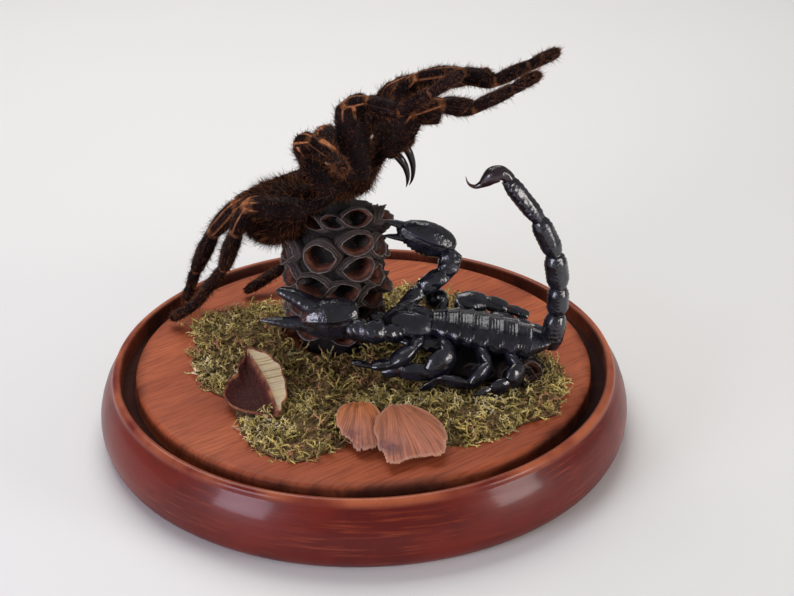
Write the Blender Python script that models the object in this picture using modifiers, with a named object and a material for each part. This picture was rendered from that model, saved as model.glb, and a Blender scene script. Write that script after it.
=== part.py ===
"""Mounted tarantula and scorpion on a turned wooden base with a groove for a glass dome.

Metres, +Z up. The origin is the centre of the base's underside, and the front of the base,
where the bract scales lie, faces -Y. Lengths below are in millimetres and go through MM.
"""

from math import acos, asin, atan2, cos, exp, hypot, pi, radians, sin

import bmesh
import bpy
from mathutils import Euler, Matrix, Vector

MM = 0.001
GAP = 0.3  # air left between pieces that touch

# Base: turned wood, with the groove that a 165 to 170 mm dome stands in.
BASE_RADIUS = 95.0
BASE_HEIGHT = 24.5
PLATEAU_RADIUS = 81.6
PLATEAU_TOP = 24.3
GROOVE_OUTER = 87.0
GROOVE_FLOOR = 18.5
BASE_STEPS = 48

MOSS_FLOOR = PLATEAU_TOP + GAP
MOSS_THICKNESS = 5.0

# Banksia cone that carries the tarantula.
CONE_X, CONE_Y = -10.0, 17.0
CONE_RADIUS = 16.2
CONE_LIP = 2.8

# The tarantula rears up towards +X; the scorpion under it faces -X.
SPIDER_PITCH = radians(38)
SPIDER_CENTRE = (-2.8, 16.0, 93.2)
ABDOMEN_CENTRE = (-29.4, 18.0, 76.0)
ABDOMEN_SIZE = (14.6, 12.0, 11.6)


def new_material(name, colour, roughness, metallic=0.0):
    material = bpy.data.materials.new(name)
    material.use_nodes = True
    shader = material.node_tree.nodes["Principled BSDF"]
    shader.inputs["Base Color"].default_value = (*colour, 1.0)
    shader.inputs["Roughness"].default_value = roughness
    shader.inputs["Metallic"].default_value = metallic
    material.diffuse_color = (*colour, 1.0)
    return material


WOOD = ((0.36, 0.09, 0.045), 0.45)
MOSS = ((0.16, 0.15, 0.04), 0.95)
CONE = ((0.11, 0.075, 0.06), 0.8)
POD = ((0.20, 0.09, 0.06), 0.6)
BRACT = ((0.30, 0.14, 0.09), 0.7)
FUR = ((0.07, 0.032, 0.018), 0.85)
FANG = ((0.008, 0.007, 0.008), 0.12)
SHELL = ((0.012, 0.011, 0.016), 0.22)


def clear_scene():
    for old in list(bpy.data.objects):
        bpy.data.objects.remove(old, do_unlink=True)


def new_collection(name):
    collection = bpy.data.collections.new(name)
    bpy.context.scene.collection.children.link(collection)
    return collection


def add_object(name, data, look, where=None):
    obj = bpy.data.objects.new(name, data)
    (where or PIECES).objects.link(obj)
    if look:
        data.materials.append(new_material(name, *look))
    return obj


def mesh_from(bm, name):
    bmesh.ops.recalc_face_normals(bm, faces=bm.faces)
    mesh = bpy.data.meshes.new(name)
    bm.to_mesh(mesh)
    bm.free()
    mesh.shade_smooth()
    return mesh


def as_cutter(obj):
    obj.hide_render = True
    obj.display_type = "WIRE"
    return obj


def cut(obj, cutter):
    modifier = obj.modifiers.new("cut_" + cutter.name, "BOOLEAN")
    modifier.operation = "DIFFERENCE"
    modifier.solver = "EXACT"
    modifier.object = cutter


def tube(name, points, look, resolution=1, where=None):
    """A limb: points are (x, y, z, radius), in mm, joined as a beaded tube with closed ends."""
    curve = bpy.data.curves.new(name, "CURVE")
    curve.dimensions = "3D"
    curve.bevel_depth = MM
    curve.bevel_resolution = resolution
    curve.use_fill_caps = True
    spline = curve.splines.new("POLY")
    spline.points.add(len(points) - 1)
    for point, (x, y, z, r) in zip(spline.points, points):
        point.co = (x * MM, y * MM, z * MM, 1.0)
        point.radius = r
    return add_object(name, curve, look, where)


def jointed(joints, radii, beads=((0.12, 0.85), (0.5, 1.0), (0.9, 0.85)), tip=0.45):
    """Rings along a chain of joints: each segment swells between its two narrow ends."""
    rings = []
    for i, radius in enumerate(radii):
        a, b = Vector(joints[i]), Vector(joints[i + 1])
        for share, scale in beads:
            p = a.lerp(b, share)
            rings.append((*p, radius * scale))
    end = Vector(joints[-1])
    rings.append((*end, radii[-1] * tip))
    return rings


def ball(u=16, v=10):
    bm = bmesh.new()
    bmesh.ops.create_uvsphere(bm, u_segments=u, v_segments=v, radius=1.0)
    return bm


def ellipsoid(name, centre, size, look, turn=(0, 0, 0), u=16, v=10, shape=None):
    """A soft body: a sphere scaled to size, bent by shape, then turned and put at centre."""
    bm = ball(u, v)
    for vert in bm.verts:
        p = Vector((vert.co.x * size[0], vert.co.y * size[1], vert.co.z * size[2]))
        vert.co = (shape(p, vert.co.copy()) if shape else p) * MM
    obj = add_object(name, mesh_from(bm, name), look)
    obj.rotation_euler = Euler(turn)
    obj.location = Vector(centre) * MM
    return obj


def pebble(name, centre, outline, top, bottom, look, u=24, v=10, where=None):
    """A flat-lying piece: outline gives its radius at an angle, top and bottom its surfaces."""
    bm = ball(u, v)
    for vert in bm.verts:
        share = hypot(vert.co.x, vert.co.y)
        # Rings are spread evenly in the plan, not bunched at the edge as a sphere's are.
        share = asin(min(1.0, share)) / (pi / 2)
        angle = atan2(vert.co.y, vert.co.x)
        reach = share * outline(angle)
        x, y = centre[0] + reach * cos(angle), centre[1] + reach * sin(angle)
        face = top if vert.co.z > 0 else bottom
        z = face(x, y, share)
        if share > 0.999:
            z = 0.5 * (top(x, y, share) + bottom(x, y, share))
        vert.co = Vector((x, y, z)) * MM
    return add_object(name, mesh_from(bm, name), look, where)


def spline_round(marks):
    """A closed outline through (degrees, radius) marks, smooth between them."""
    marks = sorted(marks)

    def radius(angle):
        a = (angle * 180 / pi) % 360
        for i, (d0, r0) in enumerate(marks):
            d1, r1 = marks[(i + 1) % len(marks)]
            span = (d1 - d0) % 360
            if (a - d0) % 360 <= span:
                s = ((a - d0) % 360) / span
                s = s * s * (3 - 2 * s)
                return r0 + (r1 - r0) * s
        return marks[0][1]

    return radius


def lumps(x, y):
    return 0.5 * sin(0.31 * x + 1.3) * cos(0.27 * y) + 0.5 * sin(0.17 * x - 0.23 * y)


def make_base():
    profile = (
        (0.0, PLATEAU_TOP),
        (79.8, PLATEAU_TOP),
        (80.9, 24.0),
        (PLATEAU_RADIUS, 22.9),
        (PLATEAU_RADIUS, GROOVE_FLOOR),
        (GROOVE_OUTER, GROOVE_FLOOR),
        (GROOVE_OUTER, BASE_HEIGHT),
        (89.3, BASE_HEIGHT),
        (90.0, 23.6),
        (90.1, 22.0),
        (91.6, 20.0),
        (94.2, 13.5),
        (BASE_RADIUS, 8.5),
        (94.2, 3.6),
        (92.4, 0.8),
        (90.6, 0.0),
        (0.0, 0.0),
    )
    bm = bmesh.new()
    verts = [bm.verts.new((r * MM, 0, z * MM)) for r, z in profile]
    for a, b in zip(verts, verts[1:]):
        bm.edges.new((a, b))
    mesh = bpy.data.meshes.new("base")
    bm.to_mesh(mesh)
    bm.free()
    base = add_object("base", mesh, WOOD)
    screw = base.modifiers.new("turned", "SCREW")
    screw.axis = "Z"
    screw.angle = 2 * pi
    screw.steps = screw.render_steps = BASE_STEPS
    screw.use_merge_vertices = True
    screw.merge_threshold = 0.0001
    return base


# The plant pieces.

# Follicles of the standing cone as (degrees from the front towards +X, height).
FRONT_FOLLICLES = (
    (29, 76), (27, 68), (-16, 66), (25, 60), (-57, 65), (-24, 55), (8, 51), (45, 53),
    (44, 44), (-50, 56), (-39, 31), (-62, 43), (72, 63), (74, 46), (-8, 40), (22, 38),
    (54, 33), (4, 29),
)


def follicles():
    found = list(FRONT_FOLLICLES)
    for row in range(5):
        for i in range(5):
            angle = 100 + 34 * i + (17 if row % 2 else 0)
            if angle < 272:
                found.append((angle, 30 + 10 * row))
    return found


def follicle_bump(angle, z):
    """Height of the lips above the core: a raised oval ring round each sunken mouth."""
    height = -1.2
    for at, level in follicles():
        across = (angle - at + 180) % 360 - 180
        s = radians(across) * CONE_RADIUS / 6.0
        t = (z - level) / 4.4
        d = hypot(s, t)
        ring = CONE_LIP * exp(-(((d - 0.95) / 0.38) ** 2))
        mouth = -3.2 * exp(-((d / 0.62) ** 2))
        height = max(height, ring - 1.2) if d > 0.62 else min(height, mouth)
    return height


def cone_rings():
    """(centre x, radius, height) of the cone's rings: it leans away from the abdomen."""
    wall = [(CONE_X, CONE_RADIUS, 26.8 + 2.68 * i) for i in range(14)]
    dome = [(-7.4, 13.8, 64.8), (-5.6, 12.6, 68.0), (-4.4, 11.6, 71.2), (-4.0, 10.2, 74.2),
            (-4.0, 7.4, 76.8)]
    return [(CONE_X, CONE_RADIUS - 1.4, MOSS_FLOOR)] + wall + dome


def make_banksia_cone():
    rings = cone_rings()
    bm = ball(38, len(rings) + 1)
    for vert in bm.verts:
        row = round(acos(max(-1.0, min(1.0, -vert.co.z))) / pi * (len(rings) + 1))
        if row == 0:
            vert.co = Vector((CONE_X, CONE_Y, MOSS_FLOOR)) * MM
            continue
        if row > len(rings):
            vert.co = Vector((-4.0, CONE_Y, 78.0)) * MM
            continue
        x, radius, z = rings[row - 1]
        angle = atan2(vert.co.x, -vert.co.y)
        bump = follicle_bump(angle * 180 / pi, z)
        bump *= min(1.0, max(0.0, (radius - 5) / 9)) if row > 1 else 0.0
        side = cos(angle + pi / 2) if row > 14 else 0.0
        reach = radius + (min(bump, 0.6) if side > 0.35 else bump)
        point = (x + reach * sin(angle), CONE_Y - reach * cos(angle), z)
        vert.co = Vector(point) * MM
    return add_object("banksia_cone", mesh_from(bm, "banksia_cone"), CONE)


LYING_CENTRE = (43.5, -10.0, 26.0)
LYING_SIZE = (22.0, 11.0, 6.3)


def lying_shape(grow=0.0, lumpy=1.0):
    def shape(p, unit):
        knot = lumpy * 0.7 * sin(5 * unit.x + 2) * sin(6 * unit.y + 1)
        x = unit.x * (LYING_SIZE[0] + grow + knot)
        y = unit.y * (LYING_SIZE[1] + grow + knot)
        z = unit.z * (LYING_SIZE[2] + grow + 0.5 * knot)
        slope = -0.11 * x
        low = MOSS_FLOOR - LYING_CENTRE[2] - (2.0 if grow else 0.0)
        return Vector((x, y, max(z + slope, low)))

    return shape


def make_lying_cone():
    return ellipsoid(
        "lying_cone", LYING_CENTRE, LYING_SIZE, CONE, u=18, v=10, shape=lying_shape()
    )


POD_CENTRE = (-37.0, -26.0)


def pod_plane(x, y):
    return 29.6 + 0.17 * (y + 26.0) - 0.04 * (x + 37.0)


def make_seed_pod():
    outline = spline_round(
        ((-90, 13.8), (-68, 16.6), (-62, 17.6), (-40, 13.0), (0, 10.5), (30, 10.8),
         (62, 14.5), (86, 18.6), (100, 20.6), (116, 15.6), (150, 10.2), (180, 10.4),
         (210, 12.0), (240, 13.2))
    )

    def ridge(x, y):
        # Distance from the line that parts the hollow valve from the pale one.
        along = (y + 41.0) / 34.0
        return x - (-28.6 - 13.6 * along)

    def top(x, y, share):
        d = ridge(x, y)
        lip = 0.9 * exp(-((d / 1.6) ** 2)) + 0.5 * share**6
        hollow = -2.7 * (1 - share**5) * min(1.0, max(0.0, -d / 3.2))
        return pod_plane(x, y) + lip + hollow

    def bottom(x, y, share):
        return max(pod_plane(x, y) - 1.2 - 4.2 * (1 - share**4), MOSS_FLOOR + 1.1)

    return pebble("seed_pod", POD_CENTRE, outline, top, bottom, POD, u=24, v=12)


def bract_plane(x, y):
    return 25.9 + 0.19 * max(0.0, y + 70.3)


def make_bract(name, centre, outline, dome, step):
    def top(x, y, share):
        crown = dome * (1 - share**2) + 0.25 * sin(0.9 * x) * share
        return bract_plane(x, y) + step + 0.45 + crown

    def bottom(x, y, share):
        return top(x, y, share) - 0.9

    return pebble(name, centre, outline, top, bottom, BRACT, u=20, v=6)


def make_bracts():
    left = spline_round(
        ((-82, 16.2), (-62, 11.4), (-30, 6.4), (0, 5.4), (45, 6.4), (80, 7.0), (105, 7.0),
         (140, 7.2), (187, 6.6), (225, 7.8), (258, 11.4))
    )
    right = spline_round(
        ((-128, 11.6), (-105, 16.4), (-85, 13.4), (-65, 12.4), (-38, 17.0), (-18, 15.0),
         (13, 13.6), (45, 12.6), (75, 13.4), (105, 13.8), (135, 12.0), (160, 10.4), (195, 9.2))
    )
    make_bract("bract_left", (-2.2, -48.2), left, 1.2, 0.0)
    make_bract("bract_right", (14.2, -57.4), right, 1.5, 1.2)


def make_moss():
    outline = spline_round(
        ((-2, 71), (5, 66), (14, 54), (27, 55), (42, 57), (56, 63), (72, 62), (84, 60),
         (100, 50), (115, 49), (128, 57), (142, 70), (150, 73), (164, 64), (184, 60),
         (195, 56), (208, 50), (224, 58), (240, 66), (252, 65), (260, 55), (268, 47),
         (282, 48), (296, 59), (310, 66), (322, 67), (332, 75), (345, 72))
    )

    def top(x, y, share):
        height = MOSS_THICKNESS * (1 - share**8) * (0.9 + 0.1 * lumps(x, y))
        limit = 99.0
        if hypot(x - POD_CENTRE[0], y - POD_CENTRE[1]) < 23:
            limit = 0.4
        if -16 < x < 33 and y < -36:
            limit = min(limit, max(0.5, bract_plane(x, y) - 2.2 - MOSS_FLOOR))
        if -10 < x < 54 and -33 < y < -10:
            limit = min(limit, 0.6)
        if 8 < x < 30 and -14 < y < 6:
            limit = min(limit, 1.6)
        if x < -50 and 12 < y:
            limit = min(limit, 1.2)
        return MOSS_FLOOR + max(0.4, min(height, limit))

    def bottom(x, y, share):
        return MOSS_FLOOR

    moss = pebble("moss", (0.0, -5.0), outline, top, bottom, MOSS, u=40, v=18)
    bm = bmesh.new()
    bmesh.ops.create_cone(
        bm, cap_ends=True, segments=20, radius1=20.2 * MM, radius2=20.2 * MM, depth=20 * MM,
        matrix=Matrix.Translation((CONE_X * MM, CONE_Y * MM, 28 * MM)),
    )
    foot = as_cutter(add_object("cone_foot_cutter", mesh_from(bm, "foot"), None, CUTTERS))
    cut(moss, foot)
    bm = ball(18, 10)
    shape = lying_shape(grow=1.0)
    for vert in bm.verts:
        vert.co = (shape(None, vert.co.copy()) + Vector(LYING_CENTRE)) * MM
    lying = as_cutter(add_object("lying_cutter", mesh_from(bm, "lying"), None, CUTTERS))
    cut(moss, lying)
    return moss


def make_spider_body():
    def carapace(p, unit):
        # Broad behind the middle, narrower at the head, flatter below.
        width = (1.0 - 0.1 * unit.x) * (1.0 + 0.24 * unit.x**2)
        below = 1.55 - 0.75 * max(0.0, unit.x)
        return Vector((p.x, p.y * width, p.z * (1.0 if unit.z > 0 else below)))

    ellipsoid("tarantula_carapace", SPIDER_CENTRE, (13.8, 9.6, 6.8), FUR,
              turn=(0, -SPIDER_PITCH, 0), u=14, v=10, shape=carapace)

    def abdomen(p, unit):
        # The front end is drawn out into the narrow waist.
        waist = 1 + 0.22 * max(0.0, unit.x - 0.9) / 0.1
        return Vector((p.x * waist, p.y * (1 - 0.12 * unit.x), p.z * (1 - 0.1 * unit.x)))

    ellipsoid("tarantula_abdomen", ABDOMEN_CENTRE, ABDOMEN_SIZE, FUR,
              turn=(0, -radians(29), 0), u=16, v=12, shape=abdomen)


# Joints of each leg after its coxa: trochanter, knee, patella end, tibia end, metatarsus end
# and tip. Right legs are the near ones, on the -Y side. Coxae sit along the body's flanks.
LEG_RADII = (2.8, 4.7, 4.1, 3.7, 2.9, 2.5)
FEMUR_RADII = {"right_1": 5.3, "right_2": 6.3}
COXA_ALONG = {"1": 9.6, "2": 3.8, "3": -2.4, "4": -8.4}
COXA_OUT = {"1": 9.0, "2": 10.6, "3": 10.8, "4": 9.8}
SPIDER_LEGS = {
    "right_4": ((-18.6, 1.2, 83.8), (-38.2, -2.8, 87.6), (-43.2, 1.5, 76.4),
                (-49.3, 11.5, 57.0), (-61.8, 23.5, 35.4), (-71.4, 27.6, 27.2)),
    "left_4": ((-17.6, 34.6, 82.0), (-45.6, 36.6, 69.4), (-55.2, 38.5, 57.6),
               (-63.2, 43.0, 39.8), (-65.6, 44.0, 32.4), (-67.6, 42.0, 27.2)),
    "left_3": ((-8.0, 34.0, 91.0), (-13.0, 44.0, 95.0), (-19.0, 49.0, 84.0),
               (-25.5, 54.5, 56.0), (-30.2, 56.5, 33.8), (-45.6, 48.8, 27.0)),
    "right_3": ((-10.6, -1.0, 92.0), (-20.0, -1.2, 110.0), (-15.4, -6.2, 112.6),
                (-8.4, -14.4, 110.8), (-6.0, -22.0, 111.5), (-4.6, -29.0, 113.0)),
    "right_2": ((-0.6, -2.0, 97.6), (-3.4, -1.0, 123.2), (3.0, -2.0, 125.0),
                (14.0, -8.5, 124.4), (24.4, -16.0, 133.8), (34.2, -22.0, 143.2)),
    "left_2": ((1.2, 36.0, 98.2), (12.6, 36.4, 115.0), (20.6, 39.6, 115.0),
               (31.0, 45.0, 113.0), (40.0, 51.0, 112.0), (47.0, 56.0, 112.5)),
    "left_1": ((8.2, 27.4, 105.4), (20.4, 24.4, 122.4), (34.4, 18.2, 126.8),
               (46.7, 16.2, 124.8), (58.2, 15.0, 130.8), (68.2, 15.0, 136.0)),
    "right_1": ((8.2, 3.4, 104.6), (18.6, 2.6, 118.6), (28.0, 3.0, 121.8),
                (38.8, 3.0, 120.4), (52.0, 2.4, 127.4), (61.0, 2.0, 133.0)),
}


def coxa(side):
    """Where a leg starts, beside the cephalothorax and a little below its middle."""
    hand, number = side.split("_")
    out = COXA_OUT[number] * (-1 if hand == "right" else 1)
    along, up = COXA_ALONG[number], -1.4
    x = SPIDER_CENTRE[0] + along * cos(SPIDER_PITCH) - up * sin(SPIDER_PITCH)
    z = SPIDER_CENTRE[2] + along * sin(SPIDER_PITCH) + up * cos(SPIDER_PITCH)
    return (x, SPIDER_CENTRE[1] + out, z)


def make_spider_limbs():
    for side, joints in SPIDER_LEGS.items():
        radii = list(LEG_RADII)
        radii[1] = FEMUR_RADII.get(side, radii[1])
        tube("tarantula_leg_" + side, jointed((coxa(side), *joints), radii), FUR)
    for side, y, out in (("right", 12.2, -1), ("left", 18.6, 1)):
        palp = ((12.6, y + 0.2 * out, 110.2), (15.6, y + 0.6 * out, 112.6),
                (19.4, y + 0.9 * out, 113.6), (27.4, y + 1.0 * out, 113.4))
        if side == "left":
            palp = tuple((px, py, pz - 0.8) for px, py, pz in palp)
        tube("tarantula_palp_" + side, jointed(palp, (1.7, 2.1, 2.5), tip=0.5), FUR)
        ellipsoid("tarantula_chelicera_" + side, (14.0, 16.2 + 3.7 * out, 104.2),
                  (5.2, 3.2, 3.4), FUR, turn=(0, -radians(14), 0), u=10, v=8)
    right = ((12.8, 11.8, 98.9, 1.2), (14.3, 11.6, 97.6, 1.4), (15.8, 11.6, 95.0, 1.2),
             (16.5, 11.6, 91.8, 0.85), (16.4, 11.6, 89.4, 0.5), (16.0, 11.6, 87.4, 0.2))
    left = ((16.2, 20.2, 98.4, 1.2), (17.4, 20.4, 96.0, 1.4), (18.3, 20.4, 92.8, 1.15),
            (18.5, 20.4, 89.2, 0.8), (18.0, 20.4, 86.2, 0.5), (17.1, 20.4, 84.0, 0.2))
    tube("tarantula_fang_right", right, FANG)
    tube("tarantula_fang_left", left, FANG)


def make_scorpion_body():
    def head(p, unit):
        notch = 0.88 if unit.x < -0.6 else 1.0
        return Vector((p.x, p.y * notch * (1 + 0.1 * unit.x), p.z))

    ellipsoid("scorpion_carapace", (18.2, -8.0, 43.7), (10.4, 7.9, 5.2), SHELL,
              turn=(0, radians(5), 0), u=16, v=10, shape=head)

    # Seven plates of the back, turned about the body's axis and then flattened.
    plates = ((0.0, 4.0), (0.4, 7.2), (4.2, 8.6), (4.5, 8.1), (8.8, 9.3), (9.1, 8.8),
              (13.8, 9.6), (14.1, 9.1), (19.0, 9.5), (19.3, 8.9), (24.2, 8.9), (24.5, 8.2),
              (29.4, 7.4), (29.7, 6.7), (34.2, 4.3), (35.4, 3.2))
    bm = bmesh.new()
    line = [bm.verts.new((0, 0, -17.6 * MM))]
    line += [bm.verts.new((r * MM, 0, (s - 17.6) * MM)) for s, r in plates]
    line.append(bm.verts.new((0, 0, (plates[-1][0] - 17.6) * MM)))
    for a, b in zip(line, line[1:]):
        bm.edges.new((a, b))
    mesh = bpy.data.meshes.new("scorpion_abdomen")
    bm.to_mesh(mesh)
    bm.free()
    back = add_object("scorpion_abdomen", mesh, SHELL)
    screw = back.modifiers.new("turned", "SCREW")
    screw.axis = "Z"
    screw.angle = 2 * pi
    screw.steps = screw.render_steps = 14
    screw.use_merge_vertices = True
    screw.merge_threshold = 0.00001
    screw.use_normal_flip = True
    back.scale = (0.58, 1.0, 1.0)
    back.rotation_euler = (0, radians(90 + 14), 0)
    back.location = Vector((46.2, -8.0, 38.2)) * MM


TAIL_JOINTS = ((68.0, -5.6, 33.0), (68.4, -5.2, 45.6), (68.9, -5.0, 56.0), (67.2, -5.0, 68.8),
               (61.4, -5.0, 82.2), (50.2, -5.0, 97.6))
TAIL_RADII = (3.8, 3.6, 3.8, 3.5, 3.0)
BEADS = ((0.04, 0.8), (0.3, 1.0), (0.7, 0.97), (0.95, 0.8))


def make_scorpion_tail():
    tube("scorpion_tail", jointed(TAIL_JOINTS, TAIL_RADII, BEADS, tip=0.8), SHELL, 2)
    sting = ((49.7, -5.0, 98.8, 1.8), (47.9, -5.0, 99.9, 2.7), (45.4, -5.0, 99.0, 3.1),
             (43.0, -5.0, 97.1, 2.3), (41.4, -5.0, 95.8, 1.4), (39.4, -5.0, 95.0, 1.0),
             (37.6, -5.0, 95.6, 0.65), (36.6, -5.0, 97.0, 0.4), (36.1, -5.0, 98.8, 0.15))
    tube("scorpion_stinger", sting, SHELL, 2)


def make_scorpion_claws():
    near_arm = ((11.4, -17.0, 44.2), (5.4, -17.6, 45.4), (1.2, -16.4, 45.8), (-1.6, -12.8, 44.6))
    tube("scorpion_arm_left", jointed(near_arm, (2.9, 3.7, 3.5), tip=0.6), SHELL)
    far_arm = ((14.6, 2.2, 47.0), (21.4, 5.4, 51.2), (28.6, 7.0, 54.8), (34.0, 8.8, 60.6))
    tube("scorpion_arm_right", jointed(far_arm, (2.6, 3.2, 3.5), tip=0.6), SHELL)

    def hand(p, unit):
        # Deep at the wrist, tapering to where the fingers start.
        taper = 1.0 + 0.14 * unit.x - 0.12 * unit.x**2
        return Vector((p.x, p.y * taper, p.z * taper))

    ellipsoid("scorpion_claw_left", (-12.0, -10.8, 47.4), (9.8, 5.8, 7.8), SHELL,
              turn=(0, radians(-4), 0), u=14, v=10, shape=hand)
    ellipsoid("scorpion_claw_right", (23.6, 12.6, 66.6), (9.8, 5.2, 6.0), SHELL,
              turn=(0, radians(24), 0), u=14, v=10, shape=hand)
    fingers = {
        "scorpion_finger_left_lower": ((-22.2, -11.0, 46.0, 2.2), (-25.4, -11.2, 46.4, 2.3),
            (-29.6, -11.2, 46.8, 1.8), (-33.4, -11.0, 47.2, 1.1), (-36.0, -10.8, 47.2, 0.35)),
        "scorpion_finger_left_upper": ((-19.4, -8.4, 53.0, 2.6), (-22.2, -7.8, 54.6, 2.7),
            (-25.6, -7.2, 55.8, 2.4), (-28.2, -7.0, 56.4, 1.6), (-29.4, -7.0, 56.4, 0.7)),
        "scorpion_finger_right_upper": ((14.4, 12.8, 71.7, 1.8), (12.2, 12.8, 72.6, 1.8),
            (9.8, 12.6, 73.2, 1.3), (8.0, 12.4, 74.2, 0.5)),
        "scorpion_finger_right_lower": ((13.6, 11.6, 67.4, 1.6), (11.6, 11.4, 67.8, 1.6),
            (9.6, 11.2, 68.6, 1.0), (8.4, 11.2, 69.6, 0.35)),
    }
    for name, points in fingers.items():
        tube(name, points, SHELL)


SCORPION_LEGS = {
    "left_1": ((19.6, -16.2, 41.0), (17.4, -20.6, 40.2), (10.4, -22.6, 36.0), (3.2, -22.8, 35.2),
               (-3.6, -22.0, 36.4)),
    "left_2": ((28.4, -17.2, 40.4), (30.4, -21.2, 38.8), (23.6, -24.2, 32.2), (13.2, -23.0, 33.6),
               (7.8, -22.4, 31.8)),
    "left_3": ((42.8, -17.6, 37.2), (43.6, -21.4, 34.0), (38.2, -25.8, 28.2), (26.6, -26.2, 32.0),
               (21.4, -26.0, 27.2)),
    "left_4": ((52.6, -16.0, 33.6), (54.0, -20.6, 31.6), (51.2, -24.6, 29.0), (45.6, -27.2, 27.4),
               (41.0, -30.6, 27.0)),
    "right_1": ((17.8, 0.8, 40.2), (19.4, 6.0, 40.6), (16.8, 12.2, 36.4), (17.0, 19.0, 32.2),
                (18.4, 25.0, 31.0)),
    "right_2": ((27.0, 2.2, 40.6), (29.6, 7.0, 44.2), (24.0, 11.4, 44.0), (24.4, 18.0, 36.6),
                (25.4, 25.0, 31.2)),
    "right_3": ((36.0, 2.6, 39.4), (34.0, 8.6, 43.0), (44.0, 11.0, 41.6), (52.0, 11.6, 38.8),
                (59.8, 11.6, 35.6)),
    "right_4": ((48.0, 2.2, 36.2), (46.6, 6.6, 37.6), (54.0, 7.4, 35.2), (60.0, 7.2, 33.6),
                (64.6, 6.6, 32.6)),
}


def make_scorpion_legs():
    beads = ((0.12, 0.85), (0.75, 1.0))
    for side, joints in SCORPION_LEGS.items():
        rings = jointed(joints, (2.1, 2.6, 2.0, 1.2), beads, tip=0.3)
        tube("scorpion_leg_" + side, rings, SHELL)
    for side, y in (("left", -10.6), ("right", -5.4)):
        ellipsoid("scorpion_chelicera_" + side, (4.4, y, 44.0), (2.8, 2.2, 2.5), SHELL,
                  u=10, v=6)


clear_scene()
PIECES = new_collection("tarantula_and_scorpion_display")
CUTTERS = new_collection("cutters")
make_base()
make_banksia_cone()
make_lying_cone()
make_seed_pod()
make_bracts()
make_moss()
make_spider_body()
make_spider_limbs()
make_scorpion_body()
make_scorpion_tail()
make_scorpion_claws()
make_scorpion_legs()
bpy.context.view_layer.update()
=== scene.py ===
from math import atan2, cos, degrees, exp, hypot, pi, radians, sin

import bmesh
import bpy
import numpy as np
from bpy.props import FloatProperty, FloatVectorProperty, IntProperty, PointerProperty
from mathutils import Euler, Matrix, Vector, noise


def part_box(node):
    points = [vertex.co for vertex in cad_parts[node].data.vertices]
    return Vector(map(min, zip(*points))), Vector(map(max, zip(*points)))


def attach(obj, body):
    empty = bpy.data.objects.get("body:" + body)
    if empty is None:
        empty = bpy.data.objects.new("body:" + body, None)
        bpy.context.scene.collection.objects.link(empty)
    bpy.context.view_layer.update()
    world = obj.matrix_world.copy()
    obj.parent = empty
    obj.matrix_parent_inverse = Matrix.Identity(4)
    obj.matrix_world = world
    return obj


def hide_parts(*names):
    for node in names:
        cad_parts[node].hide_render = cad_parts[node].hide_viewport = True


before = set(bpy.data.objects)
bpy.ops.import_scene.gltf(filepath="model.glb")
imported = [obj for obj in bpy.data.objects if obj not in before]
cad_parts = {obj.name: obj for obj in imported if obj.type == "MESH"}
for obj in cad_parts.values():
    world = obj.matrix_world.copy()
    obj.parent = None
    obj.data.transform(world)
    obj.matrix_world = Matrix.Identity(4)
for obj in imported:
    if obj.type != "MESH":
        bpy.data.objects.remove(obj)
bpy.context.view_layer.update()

bl_info = {
    "name": "Mounted tarantula and scorpion",
    "version": (1, 0, 0),
    "blender": (4, 5, 0),
    "location": "View3D > Sidebar > Specimens",
    "description": "Builds a tarantula and a scorpion mounted on a turned wooden base",
    "category": "Add Mesh",
}

# Shapes are given in millimetres and turned to metres by MM. Finishes read metres.
MM = 0.001
MOSS_GAP = 0.3
PLATEAU_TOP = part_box("moss")[0].z / MM - MOSS_GAP

# A skin's seam stands at this share of a full turn, as good as its start, where it is welded
# with its ends by this distance in mm.
SEAM = 0.99999
WELD = 0.002

# How much a hair bends towards its flow, and how deep its root sits in the skin, in mm.
HAIR_BEND = 0.35
HAIR_SINK = 0.3


# Shader helpers.

class Value:
    """A number socket whose arithmetic adds Math nodes."""

    def __init__(self, look, socket):
        self.look, self.socket = look, socket

    def _math(self, operation, *terms):
        return self.look.number(operation, *terms)

    def __add__(self, other):
        return self._math("ADD", self, other)

    __radd__ = __add__

    def __mul__(self, other):
        return self._math("MULTIPLY", self, other)

    __rmul__ = __mul__

    def __sub__(self, other):
        return self._math("SUBTRACT", self, other)

    def __rsub__(self, other):
        return self._math("SUBTRACT", other, self)

    def __pow__(self, other):
        return self._math("POWER", self, other)


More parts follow.
